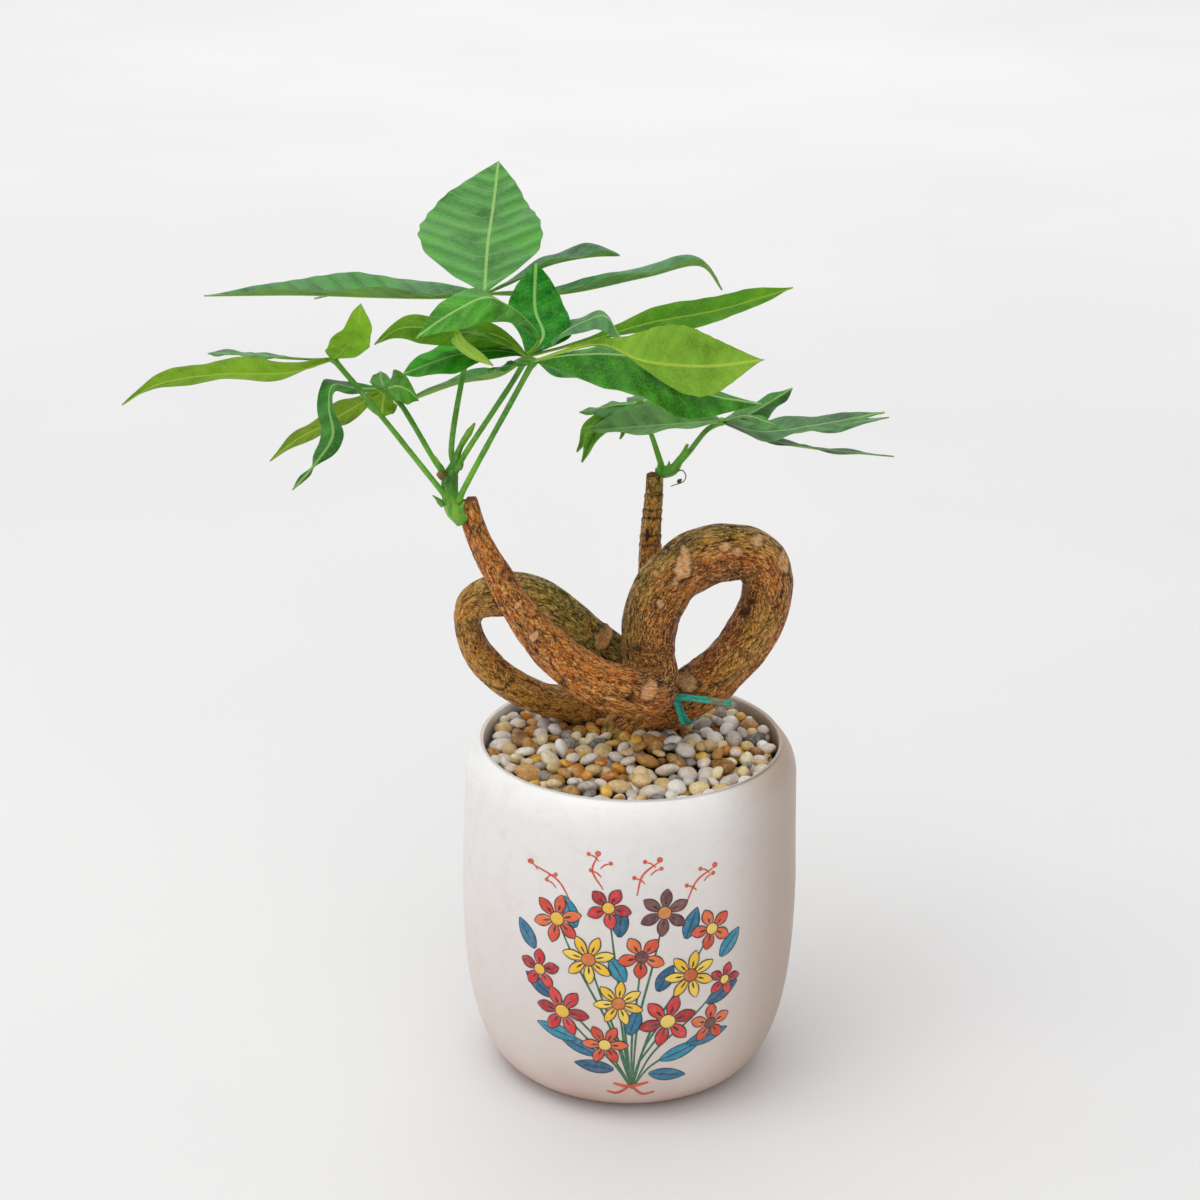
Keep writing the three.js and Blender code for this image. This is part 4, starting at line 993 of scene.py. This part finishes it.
def makeTie():
    t = tie
    # polythene tape, slit from film and pulled tight: a soft sheen, and stretched ribs along it
    tape, add, surface = newMaterial("polythene_tie_tape_stretched", IOR=1.5, Roughness=0.42)
    tint = add("Attribute", out="Color", attribute_name="tapeTint")
    long = add("Mapping", {"Scale": (0.25, 1.0, 1.0), "Vector": add("TexCoord", out="Object")})
    ribs = add("TexNoise", {"Scale": 1500.0, "Detail": 3.0, "Vector": long})
    colour = layTones(add, tint, ("#6fd0bb", ribs, 0.5, 0.72, 0.5), ("#0b5548", ribs, 0.48, 0.32, 0.6))
    dress(add, surface, colour, relief=(ribs, 0.4, 0.0003))
    parts = MeshParts()
    teal, worn, rubbed = (linear(t[key]) for key in ("teal", "worn", "rubbed"))
    axis = Vector(t["along"]).normalized()
    first = axis.orthogonal().normalized()
    angles = circle(72)
    out = np.cos(angles)[:, None] * np.array(first) + np.sin(angles)[:, None] * np.array(axis.cross(first))
    radius = t["ringRadius"] + 0.12 * smoothNoise(np.cos(angles) * 2, np.sin(angles) * 2, 0, 3)
    half = np.array(axis) * t["width"] / 2
    ring = t["place"] + np.stack([
        out * (radius + h * t["thickness"])[:, None] + half * a for a, h in t["ringSection"]
    ], 1)
    rows, sides = ring.shape[:2]
    faces = gridFaces(rows + 1, sides) % (rows * sides)
    parts.add(ring.reshape(-1, 3), faces[:, ::-1], tapeTint=teal)
    # the long end is grimy near its tip
    long = stripRings(t["longEnd"], t["width"] * 1.1, t["thickness"] * 1.25, (0, -0.75, 0.66), 44, 0.12, 2)
    u = np.linspace(0, 1, 44)
    grime = (smoothStep(u, 0.58, 0.7) * (1 - smoothStep(u, 0.85, 0.9)))[:, None, None]
    parts.addTube(long, tapeTint=teal * (1 - grime) + worn * grime)
    short = stripRings(t["hangingEnd"], t["width"] * 0.86, t["thickness"], (0.15, -1, 0.2), 26, 0.35, 5)
    parts.addTube(short, tapeTint=teal)
    # the knot: a short roll of tape with a turn wrapped over it
    knot = np.array(t["knot"])
    tube = stemRings([(*(knot + p), r) for *p, r in t["roll"]], 0.3, 16)
    folds = 0.16 * np.sin(tube["angles"] * 5)[None]
    folds = folds + 0.14 * smoothNoise(np.cos(tube["angles"])[None] * 2, tube["along"][:, None], 0, 6)
    roll = tube["line"][:, None] + tube["outward"] * (tube["radii"][:, None] + folds)[..., None]
    parts.addTube(roll, tapeTint=teal * 0.55 + rubbed * 0.45)
    parts.addTube(stripRings([knot + p for p in t["wrap"]], 1.7, 0.6, (0, -1, 0.2), 18, 0, 8), tapeTint=teal)
    parts.make("tie_tape", [tape], ["plastic_tie"], "tie")


makeTie()
print("tie made")


shoots = {
    "green": "#56a02a", "young": "#88bc3a", "deep": "#2f6e22", "brown": "#6e3f22", "dry": "#33261c",
    # stations, sides, step, colours, and the height and seed of the ribs
    "leftStalks": [
        ([(-60, -17, 219, 3), (-62.8, -17.5, 223, 3.3), (-64.4, -17, 229, 3), (-64.3, -16.2, 235, 2.7),
          (-62.8, -16, 239.5, 1.6), (-60.6, -17, 246, 0.95), (-57.6, -18.2, 251.5, 1.3),
          (-55.6, -19, 255, 0.45)],
         22, 0.55, ["green", "young", "green", "deep", "green", "green", "young", "young"], 0.12, 3),
        # the brown stub of a leaf that has dropped, at the left joint
        ([(-65.6, -18.4, 234.6, 1.5), (-67.2, -19.2, 236.2, 1.6), (-68.3, -19.6, 237.2, 1.1)],
         14, 0.35, ["green", "brown", "#9a5f38"], 0.15, 9),
    ],
    "rightStalks": [
        ([(8.4, 26.8, 222.8, 2.0), (11, 26.3, 223.6, 2.2), (14.2, 25, 225.2, 2.0), (17.2, 24.2, 230.2, 1.2),
          (19.4, 24, 235, 0.6)], 20, 0.5, ["deep", "green", "green", "young", "young"], 0.12, 5),
        # a dry curled tendril and its seed husk beside the joint
        ([(15.6, 22.6, 225.2, 0.35), (17.6, 21.8, 225.8, 0.22), (18.9, 21.4, 224, 0.2),
          (18.2, 21.3, 221.8, 0.2), (16.4, 21.4, 220.8, 0.18), (14.6, 21.6, 220.2, 0.2),
          (13.4, 21.7, 219.6, 0.12)],
         6, 0.4, ["deep", "dry", "dry"]),
        ([(15.9, 21.5, 221.2, 0.35), (16.6, 21.3, 222, 0.85), (17.4, 21.2, 222.6, 0.3)],
         10, 0.25, ["dry", "dry"], 0.3),
    ],
    # small pointed bracts at the leaf joints: foot, tip, width
    "leftBracts": [
        ((-66.6, -19, 236), (-69.3, -20, 243.5), 2.2), ((-61, -18.5, 238), (-59.6, -20, 244), 1.8),
        ((-66.8, -19.6, 225), (-70.4, -21, 229.5), 1.9), ((-61.2, -20, 223), (-59.2, -22, 227.6), 1.9),
        ((-64, -20.2, 222), (-64.6, -22.3, 227), 1.9), ((-62.3, -18, 241), (-60.6, -19.2, 246.5), 1.5),
    ],
    "rightBracts": [
        ((9.5, 24.5, 224), (8.8, 23.6, 228.6), 1.7), ((14.8, 23.2, 226), (17.4, 22.8, 230), 1.5),
        ((12.6, 24, 225), (12.8, 23, 229), 1.4), ((10.4, 25.2, 222.6), (8.6, 24.4, 226.4), 2.4),
        ((13.6, 23.4, 223.6), (16, 22.4, 227.4), 2.2), ((15.2, 23.2, 227.5), (18.6, 22.4, 233), 1.5),
    ],
}


def stalkMaterial():
    # soft green stalk, still sappy: smooth skin with a waxy gloss, finely streaked along its length
    skin, add, surface = newMaterial("green_stalk_skin_waxy", IOR=1.42, Subsurface_Weight=0.12,
                                     Subsurface_Scale=0.002)
    tint = add("Attribute", out="Color", attribute_name="leafTint")
    streak, cloud = (
        add("TexNoise", {"Scale": scale, "Detail": detail, "Vector": add("TexCoord", out="Object")})
        for scale, detail in ((520.0, 3.0), (120.0, 2.0))
    )
    colour = layTones(add, tint, ("#32701c", cloud, 0.54, 0.34, 0.5), ("#a8cc6a", streak, 0.5, 0.72, 0.3))
    dress(add, surface, colour, (streak, 0.32, 0.52), (streak, 0.3, 0.0003))
    return skin


stalkSkin = stalkMaterial()


# a pointed scale that cups the stalk it grows on
def addBract(parts, foot, tip, width):
    foot, tip = np.array(foot, float), np.array(tip, float)
    t = np.linspace(0, 1, 9)
    bow = unit(np.cross(tip - foot, (1, 0, 0)))
    line = foot + (tip - foot) * t[:, None] + bow * (0.6 * np.sin(np.pi * t))[:, None]
    face, side = steadyFrames(unit(np.gradient(line, axis=0)))
    belly = 0.75 + 0.5 * np.sin(np.pi * np.minimum(t * 1.6, 1))
    wide = (width / 2 * (1 - t) ** 0.6 * belly + 0.12)[:, None]
    thick = (0.42 * (1 - t) + 0.12)[:, None]
    cos, sin = np.cos(circle(10)), np.sin(circle(10))
    rings = line[:, None] + side[:, None] * (wide * cos)[..., None]
    rings = rings + face[:, None] * (thick * sin - 0.35 * wide * cos ** 2)[..., None]
    green, young = linear(shoots["green"]), linear(shoots["young"])
    parts.addTube(rings, leafTint=green + (young - green) * smoothStep(t, 0.5, 1)[:, None, None])


# a ribbed stalk whose colours, hex or the names of those of the shoots, are spread along it
def addStalk(parts, stations, sides, step, colours, ribs=0.05, seed=0, slot=0):
    stem = stemRings(stations, step, sides)
    u = stem["along"] / stem["along"][-1]
    cos, sin = np.cos(stem["angles"]) * 2.2, np.sin(stem["angles"]) * 2.2
    radii = stem["radii"][:, None]
    sway = ribs * radii * smoothNoise(cos, sin, stem["along"][:, None] / 5, seed)
    table = np.array([linear(shoots.get(c, c)) for c in colours])
    tint = np.stack([np.interp(u, np.linspace(0, 1, len(colours)), table[:, k]) for k in range(4)], -1)
    rings = stem["line"][:, None] + stem["outward"] * (radii + sway)[..., None]
    parts.addTube(rings, slot, leafTint=tint[:, None])


def makeShoots():
    for side in ("left", "right"):
        parts = MeshParts()
        for stalk in shoots[side + "Stalks"]:
            addStalk(parts, *stalk)
        for bract in shoots[side + "Bracts"]:
            addBract(parts, *bract)
        parts.make(side + "_shoot_stalk", [stalkSkin], [side + "_shoot"], "shoot")


makeShoots()
print("shoots made")


leafShape = {
    "step": 1.25,  # between rows of corners along a leaflet
    # columns of corners, at parts of the half width
    "columns": (0.03, 0.08, 0.15, 0.24, 0.34, 0.45, 0.56, 0.67, 0.78, 0.87, 0.94, 0.985, 1.0),
    "thickness": 0.34, "edgeThickness": 0.12, "ribHeight": 0.62, "ribWidth": 0.75,
    "baseHalfWidth": 1.1, "tipHalfWidth": 0.5, "roundness": 0.86,
    "wave": 0.8, "waves": 2.5, "waveShift": 0.3,
    "veinSpacing": 8.4, "veinSlope": 0.62,  # how far a side vein runs towards the tip for each mm off the rib
    "quilting": 0.6, "unevenness": 0.35,  # how far the blade swells between two side veins and anywhere
    "upper": {
        "name": "money_tree_leaf_upper_waxy", "bright": "#5cb230", "shade": "#64845a", "vein": "#8fc47a",
        "rib": "#9cc870", "rim": "#5a8a3c", "roughness": (0.27, 0.42), "sheen": 0.12, "veinRelief": -1.0,
        # painted shade of the quilting, partly the blade's own darker tone midway between veins
        "quiltShading": 0.38,  # how dark the blade is midway between two side veins
    },
    "under": {
        "name": "money_tree_leaf_under_matt", "bright": "#a4cc3c", "shade": "#9ca864", "vein": "#c4dc70",
        "rib": "#b8d452", "rim": "#7a983c", "roughness": (0.5, 0.7), "sheen": 0.12, "veinRelief": 1.0,
        # painted shade of the quilting, partly the blade's own darker tone midway between veins
        "quiltShading": 0.14,
    },
    "joint": [(-2.2, 1.05), (0, 1.7), (1.2, 0.9)],  # distances beyond the hub and radii
    "stalkRadius": (1.2, 0.88), "stalkColours": ["#66ac2c", "#6cb430", "#5aa02a", "#4a8c24", "#66a62c"],
}


# a leaflet's rib runs from the hub to its tip, and its wings stand off the rib to either side and turn,
# between twist's places, into those of the tip. veins says how clearly side veins show, and waist where it
# shrivels
def leaflet(rib, left, right, widest, topColour, underColour, roundness=leafShape["roundness"], tipLeft=None,
            tipRight=None, twist=(0.2, 0.8), leftTwist=None, veins=0.3, waist=None):
    return {
        "rib": rib, "left": left, "right": right, "tipLeft": tipLeft or left, "tipRight": tipRight or right,
        "widest": widest, "roundness": roundness, "leftTwist": leftTwist or twist, "rightTwist": twist,
        "topColour": topColour, "underColour": underColour, "veins": veins, "waist": waist,
    }


# painted light: the yellow-green under colours are partly the leaves' own, partly light shining through the
# blade
# the grey-green top colours of some leaflets hold a painted waxy sheen over their green
leaves = {
    "left_leaf_west": {
        "hub": (-105, -6, 274), "petiole": [(-64, -19, 226), (-67, -19, 230), (-90, -18, 260)],
        "leaflets": [
            # painted sheen: the grey-green top colours of these two leaflets
            leaflet([(-15, -2, -4), (-40, -6, -4), (-60, -9, -7), (-72, -11, -14)],
                    (1, -8, 7), (-1, 8, -5), 0.45, "#4f8a3c", "#82b51a"),
            leaflet([(-16, 8, -2), (-35, 20, -4), (-48, 28, -6)],
                    (1, -8, 1), (0, 8, -1), 0.75, "#4c8644", "#7eac2c"),
            leaflet([(7, -14, 9), (11, -22, 17), (13, -30, 27)],
                    (7, -6, 0), (-6, -5, 2), 0.4, "#4f9424", "#86c020"),
        ],
    },
    "left_leaf_drooping": {
        "hub": (-88, 2, 261), "petiole": [(-65, -16, 235), (-68, -14, 237), (-82, -4, 257)],
        "leaflets": [
            leaflet([(-10, -6, 2), (-17, -12, 4.5), (-18, -16, -2), (-17, -17, -12), (-23, -16, -22),
                     (-32, -14, -33)], (1, -7, -1), (-4, 5, 2), 0.48, "#418434", "#6f9f30",
                    tipLeft=(5, 4, -1), tipRight=(-5, 4, -1), waist=0.82),
            leaflet([(-10, 2, -6), (-23, 6, -15), (-33, 8, -21), (-43, 10, -30)],
                    (-1, -6, 5), (1, 5, -5), 0.4, "#3f8a24", "#7ea422"),
            leaflet([(5, -7, 3), (9, -12, 3), (13, -17, 1)],
                    (-1, 7, 4), (0, -8, -3), 0.5, "#4f901c", "#74a81e"),
            leaflet([(-1, 2, -5), (-2, 6, -12)], (-6, -2, 1), (5, -1, -1), 0.55, "#4f901c", "#74a81e"),
            leaflet([(-2, 8, 1), (-3, 16, 2)], (-4, -3, 0), (5, -4, 0), 0.45, "#4f901c", "#74a81e"),
        ],
    },
    "left_leaf_top": {
        "hub": (-53, 5, 295), "petiole": [(-63, -15, 239), (-64, -14, 243), (-59, -5, 274)],
        "leaflets": [
            # painted sheen: these top colours are greyed by it
            leaflet([(0, 26, 11), (1, 50, 20), (2, 75, 32)],
                    (-26, 0, -1), (22, 3, 0), 0.49, "#58984a", "#84b550", roundness=1,
                    tipRight=(14, 5, 0), veins=1),
            leaflet([(-15, 2, -2), (-36, 2, -2), (-64, 0, -1), (-97, -3, -1)],
                    (1, -10, 5), (-1, 12, 5), 0.42, "#58865a", "#82b356", roundness=1.2),
            leaflet([(-16, 17, -4), (-42, 27, -5), (-63, 31, -10)],
                    (1, -8, 1), (-1, 8, -1), 0.5, "#568658", "#7aa85a"),
            leaflet([(9, 4, 3), (22, 10, 8), (37, 15, 10), (47, 17, 10)],
                    (0, 10, 2), (0, -8, 3), 0.68, "#487e52", "#74b050", roundness=0.66),
            leaflet([(26, 1, 0), (56, -2, 7), (75, -7, 12), (82, -13, 5)],
                    (0, 9, 2), (0, -9, 4), 0.6, "#508858", "#6ea55a", roundness=0.72),
        ],
    },
    "left_leaf_inner": {
        "hub": (-37, -26, 281), "petiole": [(-62.4, -17, 237), (-60.6, -18, 241), (-42.5, -24, 271)],
        "leaflets": [
            leaflet([(5, 7, 5), (2, 17, 12), (2, 26, 26)],
                    (-10, 2, -1), (11, 0, -1), 0.5, "#047a0a", "#5f9f30"),
            leaflet([(4, -1, 6), (-1, -6, 15), (-7, -12, 21), (-13, -16, 24), (-25, -20, 19), (-36, -24, 12)],
                    (-1, -10, -3), (-2, 10, -5), 0.56, "#4c9c24", "#80b834", roundness=1.2,
                    tipLeft=(-2, -10, -7), tipRight=(-6, 9, 3), veins=0.6),
            leaflet([(-9, 0, 7), (-25, 0, 9), (-43, 2, 9), (-52, 2, 3)],
                    (1, -10, 7), (-1, 7, -8), 0.5, "#569a28", "#70ac26"),
            leaflet([(-10, 2, 1), (-24, 4, -1), (-43, 8, -9)],
                    (2, -11, -2), (-3, 11, 2), 0.6, "#309614", "#68a82a"),
            # painted sheen: grey-green top colour
            leaflet([(10, 8, 5), (19, 12, 9), (26, 12, 11), (32, 5, 4)],
                    (-2, 8, 0), (-4, -7, -3), 0.55, "#5a8a5c", "#74aa48"),
            leaflet([(20, 18, 1), (41, 28, 5), (66, 36, 8), (92, 44, 14)],
                    (1, 8, -7), (-2, -8, 7), 0.68, "#4a941c", "#5eaa20", roundness=1.2),
            leaflet([(-11, 18, -12), (-25, 30, -18), (-47, 40, -29)],
                    (0, -7, 3), (0, 9, 1), 0.5, "#41902c", "#7aaa50"),
            leaflet([(10, 8, -7), (24, 14, -11), (38, 20, -15)],
                    (0, 9, -1), (0, -8, 0), 0.5, "#2a942c", "#5f9a3a"),
            leaflet([(-7, -8, 6), (-19, -15, 12), (-23, -18, 12), (-20, -18, 7), (-11, -16, 1)],
                    (0, -4, 0), (0, 4, 0), 0.62, "#7cbc38", "#98c64a",
                    tipLeft=(-2, 3, -3), tipRight=(2, -3, 3)),
        ],
    },
    "left_leaf_front": {
        "hub": (-35, -38, 282), "petiole": [(-61.4, -19.6, 227), (-59, -22.6, 233), (-40.6, -34, 270.5)],
        "leaflets": [
            leaflet([(10, -6, 4), (35, -16, 6), (55, -20, -4), (76, -20, -8)],
                    (1, 12, 0), (-2, -13, -9), 0.5, "#30780c", "#84b53c", roundness=1.1),
            leaflet([(12, -6, 6), (24, -14, 10), (36, -22, 7), (57, -28, 7), (75, -31, 10)],
                    (0, 0, -1), (-1, -1, 3), 0.58, "#4a9a28", "#82b436", roundness=1.25, tipLeft=(3, 0, -14),
                    tipRight=(-2, -1, 16), twist=(0.3, 0.75), leftTwist=(0.45, 0.8), veins=0.7),
            leaflet([(-8, 3, -2), (-16, 5, -5)], (0, -5, 0), (0, 5, 0), 0.5, "#2a9020", "#74aa30"),
        ],
    },
    "right_leaf_front": {
        "hub": (31, 10, 248), "petiole": [(13.6, 25, 224.4), (19.6, 20.5, 233), (26, 14.5, 243.5)],
        "leaflets": [
            # painted sheen: the grey-green top colours of the first four leaflets
            leaflet([(-15, -4, 0), (-29, -8, 0), (-48, -14, 0)],
                    (0, -12, 1), (2, 13, 6), 0.5, "#6a9a56", "#6fa84c"),
            leaflet([(13, -6, -2), (34, -10, 2), (56, -14, 8)],
                    (1, 12, 1), (-1, -12, 1), 0.4, "#467644", "#6fa84c"),
            leaflet([(21, 10, -4), (43, 14, -5), (61, 14, -2)],
                    (1, 9, -1), (-1, -9, 0), 0.5, "#407244", "#6fa84c"),
            leaflet([(17, 8, -9), (35, 14, -14), (64, 18, -18)],
                    (0, 6, -1), (0, -6, 1), 0.5, "#468440", "#82b058"),
            leaflet([(11, 14, -1), (27, 30, 4)], (-2, 9, 0), (4, 7, -5), 0.5, "#2c7e10", "#5a9c28"),
            leaflet([(8, -10, 5), (18, -18, 4)], (1, 5, 0), (-1, -5, 0), 0.5, "#327e12", "#74b040"),
        ],
    },
    "right_leaf_back": {
        "hub": (2, 36, 247), "petiole": [(10.8, 27, 224), (8.6, 29.6, 230), (5.6, 33, 238)],
        "leaflets": [
            leaflet([(-8, -6, 1), (-22, -16, 1)], (1, -9, -1), (1, 10, -2), 0.5, "#3c8824", "#6aaa3c"),
            # painted light: these three hanging leaflets are lightened over the shade they hang in
            leaflet([(-10, -8, -2), (-16, -14, -7), (-21, -16, -18)],
                    (3, -6, 1), (-3, -5, 3), 0.5, "#8cc44c", "#a4d24c"),
            leaflet([(-11, 2, -4), (-18, 0, -11), (-23, 0, -19)],
                    (2, -6, 0), (-3, -4, 3), 0.5, "#8cc44c", "#a4d24c"),
            leaflet([(-4, 8, -9), (-7, 10, -17)], (2, -4, 1), (-2, -4, 1), 0.5, "#8cc44c", "#a4d24c"),
            leaflet([(6, 26, -4), (11, 56, -6)], (-10, 4, -3), (10, 4, -3), 0.5, "#3c8638", "#5fa03a"),
        ],
    },
}


def bladeMaterial(face):
    # money tree leaf: on top deep green under a waxy skin, which turns grey where it mirrors the room (some
    # leaflets' tints carry a painted grey sheen too), with a pale rib, side veins 8 mm apart and a net of 1.5
    # mm, and darker midway between side veins, partly its own tone and partly painted shade of the quilting;
    # underneath matt, yellower, with raised veins
    look = leafShape[face]
    skin, add, surface = newMaterial(
        look["name"], IOR=1.45, Specular_IOR_Level=look["sheen"], Subsurface_Weight=0.08,
        Subsurface_Scale=0.0012, Subsurface_Radius=(0.5, 1.0, 0.2))
    tint = add("Attribute", out="Color", attribute_name="leafTint")
    phase, offRib, toEdge, shown = (
        add("Attribute", out="Fac", attribute_name=key)
        for key in ("veinPhase", "offRib", "toEdge", "veinShow")
    )
    spot = add("TexCoord", out="Object")
    wander = add("TexNoise", {"Scale": 150.0, "Detail": 2.0, "Vector": spot})
    swayed = add("Math", {0: wander, 1: 0.16, 2: phase}, operation="MULTIPLY_ADD")
    middle = add("Math", {0: add("Math", {0: swayed}, operation="FRACT"), 1: 0.5}, operation="SUBTRACT")
    away = add("Math", {0: middle}, operation="ABSOLUTE")
    sideVein, rib = (
        add("MapRange", {"Value": field, "From Min": low, "From Max": high}, interpolation_type="SMOOTHSTEP")
        for field, low, high in ((away, 0.445, 0.495), (offRib, 0.7, 0.3))
    )
    line = add("Math", {0: sideVein, 1: shown}, operation="MULTIPLY")
    net = add("TexVoronoi", {"Scale": 620.0, "Vector": spot}, feature="DISTANCE_TO_EDGE")
    netLine = add("MapRange", {"Value": net, "From Min": 0.09, "From Max": 0.0})
    # cloudy growth of about 13 mm, lush and dull, and darker blade midway between veins, partly its own tone
    # and partly painted shade of the quilting
    cloud = add("TexNoise", {"Scale": 62.0, "Detail": 4.0, "Roughness": 0.6, "Vector": spot})
    dull = add("MapRange", {"Value": cloud, "From Min": 0.5, "From Max": 0.3, "To Max": 0.72})
    quiltShade = add("MapRange", {"Value": away, "From Min": 0.3, "From Max": 0.05, "To Max": look["quiltShading"]})
    dullAndQuiltShade = add("Math", {0: dull, 1: quiltShade}, operation="MAXIMUM")
    darker = add("Mix", {0: 1.0, 6: tint, 7: look["shade"]}, data_type="RGBA", blend_type="MULTIPLY", out=2)
    colour = layTones(
        add, tint, (look["bright"], cloud, 0.5, 0.68, 0.45), (darker, dullAndQuiltShade),
        (look["vein"], netLine, 0.0, 1.0, 0.18), (look["vein"], line, 0.0, 1.0, 0.42),
        (look["rib"], rib, 0.0, 1.0, 0.75), (look["rim"], toEdge, 0.5, 0.1, 0.45),
    )
    raised = look["veinRelief"]
    height = add("Math", {0: sideVein, 1: raised}, operation="MULTIPLY")
    height = add("Math", {0: netLine, 1: raised * 0.25, 2: height}, operation="MULTIPLY_ADD")
    dress(add, surface, colour, (cloud, *look["roughness"]), (height, 0.5, 0.0004))
    return skin


def bladeRings(hub, leaf, seed):
    s = leafShape
    points = [hub] + [tuple(np.add(hub, p)) for p in leaf["rib"]]
    count = max(14, int(lineLength(points) / s["step"]))
    line, tangents, _, length = smoothLine(points, count)
    u = np.linspace(0, 1, count)
    wing = {}
    for side, tipName in (("left", "tipLeft"), ("right", "tipRight")):
        turned = smoothStep(u, *leaf[side + "Twist"])[:, None]
        wing[side] = np.array(leaf[side], float) * (1 - turned) + np.array(leaf[tipName], float) * turned
    up = {"left": unit(np.cross(tangents, wing["left"])), "right": unit(np.cross(wing["right"], tangents))}
    up["middle"], wing["middle"] = unit(up["left"] + up["right"]), wing["left"]
    outline = np.sin(np.pi * u ** (math.log(0.5) / math.log(leaf["widest"]))) ** leaf["roundness"]
    if leaf["waist"]:
        outline *= 1 - 0.82 * np.exp(-((u - leaf["waist"]) / 0.055) ** 2)
    least = s["baseHalfWidth"] + (s["tipHalfWidth"] - s["baseHalfWidth"]) * u
    least = least * (1 - 0.75 * smoothStep(u, 0.94, 1)) * (1 - 0.4 * smoothStep(u, 0, 0.04))
    along = u * length
    wide = np.linalg.norm(leaf["left"]) + np.linalg.norm(leaf["right"])
    spacing = s["veinSpacing"] * min(1.0, 0.45 + wide / 40)
    top, under, values = [], [], []
    left, right = ([(a, side) for a in s["columns"]] for side in ("left", "right"))
    for a, side in left[::-1] + [(0.0, "middle")] + right:
        onLeft = side == "left"
        size = np.linalg.norm(wing[side], axis=1)
        half = np.maximum(outline * size, least)
        off = a * half
        phase = (along - s["veinSlope"] * off) / spacing + seed * 0.37 + 0.3 * onLeft * min(1, a * 6)
        beat = np.cos(2 * np.pi * phase)
        # the edge is a little scalloped, in step with the side veins
        scallops = 0.016 * beat + 0.02 * smoothNoise(along / 7, seed, 0 if onLeft else 5, 3)
        swing = np.sin(2 * np.pi * (s["waves"] * u + s["waveShift"] * onLeft))
        swollen = np.minimum(1, off / 4) * (0.2 - 0.5 * beat) * np.minimum(1, size / 9) * (1 - a ** 4)
        uneven = smoothNoise(along / 9, off / 6 * (1 if onLeft else -1), seed, 7) * np.minimum(1, off / 3)
        lift = s["wave"] * swing * a ** 2 * half / size + s["quilting"] * swollen + s["unevenness"] * uneven
        reach = (a * half * (1 + scallops * a ** 3))[:, None]
        centre = line + wing[side] / size[:, None] * reach + up[side] * lift[:, None]
        groove = np.exp(-(off / s["ribWidth"]) ** 2) * (1 - 0.6 * u)
        thick = s["edgeThickness"] + (s["thickness"] - s["edgeThickness"]) * (1 - smoothStep(a, 0.75, 1.0))
        top.append(centre + up[side] * (thick / 2 - 0.12 * groove)[:, None])
        under.append(centre - up[side] * (thick / 2 + s["ribHeight"] * groove)[:, None])
        values.append((phase, off, half - off))
    spread = [np.stack([v[k] for v in values + values[::-1]], 1) for k in range(3)]
    return np.stack(top + under[::-1], 1), dict(zip(("veinPhase", "offRib", "toEdge"), spread))


def makeLeaves():
    materials = [bladeMaterial("upper"), bladeMaterial("under"), stalkSkin]
    row = 2 * len(leafShape["columns"]) + 1
    slots = np.repeat((0, 1, 1, 1), (row - 1, 1, row - 1, 1))
    seed = 0
    for name, leaf in leaves.items():
        parts = MeshParts()
        hub = np.array(leaf["hub"], float)
        for blade in leaf["leaflets"]:
            seed += 1
            rings, values = bladeRings(leaf["hub"], blade, seed)
            tint = np.repeat([linear(blade["topColour"]), linear(blade["underColour"])], row, 0)
            parts.addTube(rings, slots, leafTint=tint[None], veinShow=blade["veins"], **values)
        route = leaf["petiole"]
        thick, thin = leafShape["stalkRadius"]
        ahead = unit(hub - route[-1])
        stations = [(*p, thick + (thin - thick) * math.sqrt(k / len(route))) for k, p in enumerate(route)]
        # the swollen joint that the leaflets grow from
        stations += [(*(hub + ahead * shift), radius) for shift, radius in leafShape["joint"]]
        addStalk(parts, stations, 14, 0.8, leafShape["stalkColours"], 0.07, seed, 2)
        parts.make(name.replace("_leaf_", "_foliage_"), materials, [name], "leaf")


makeLeaves()
print("leaves made")
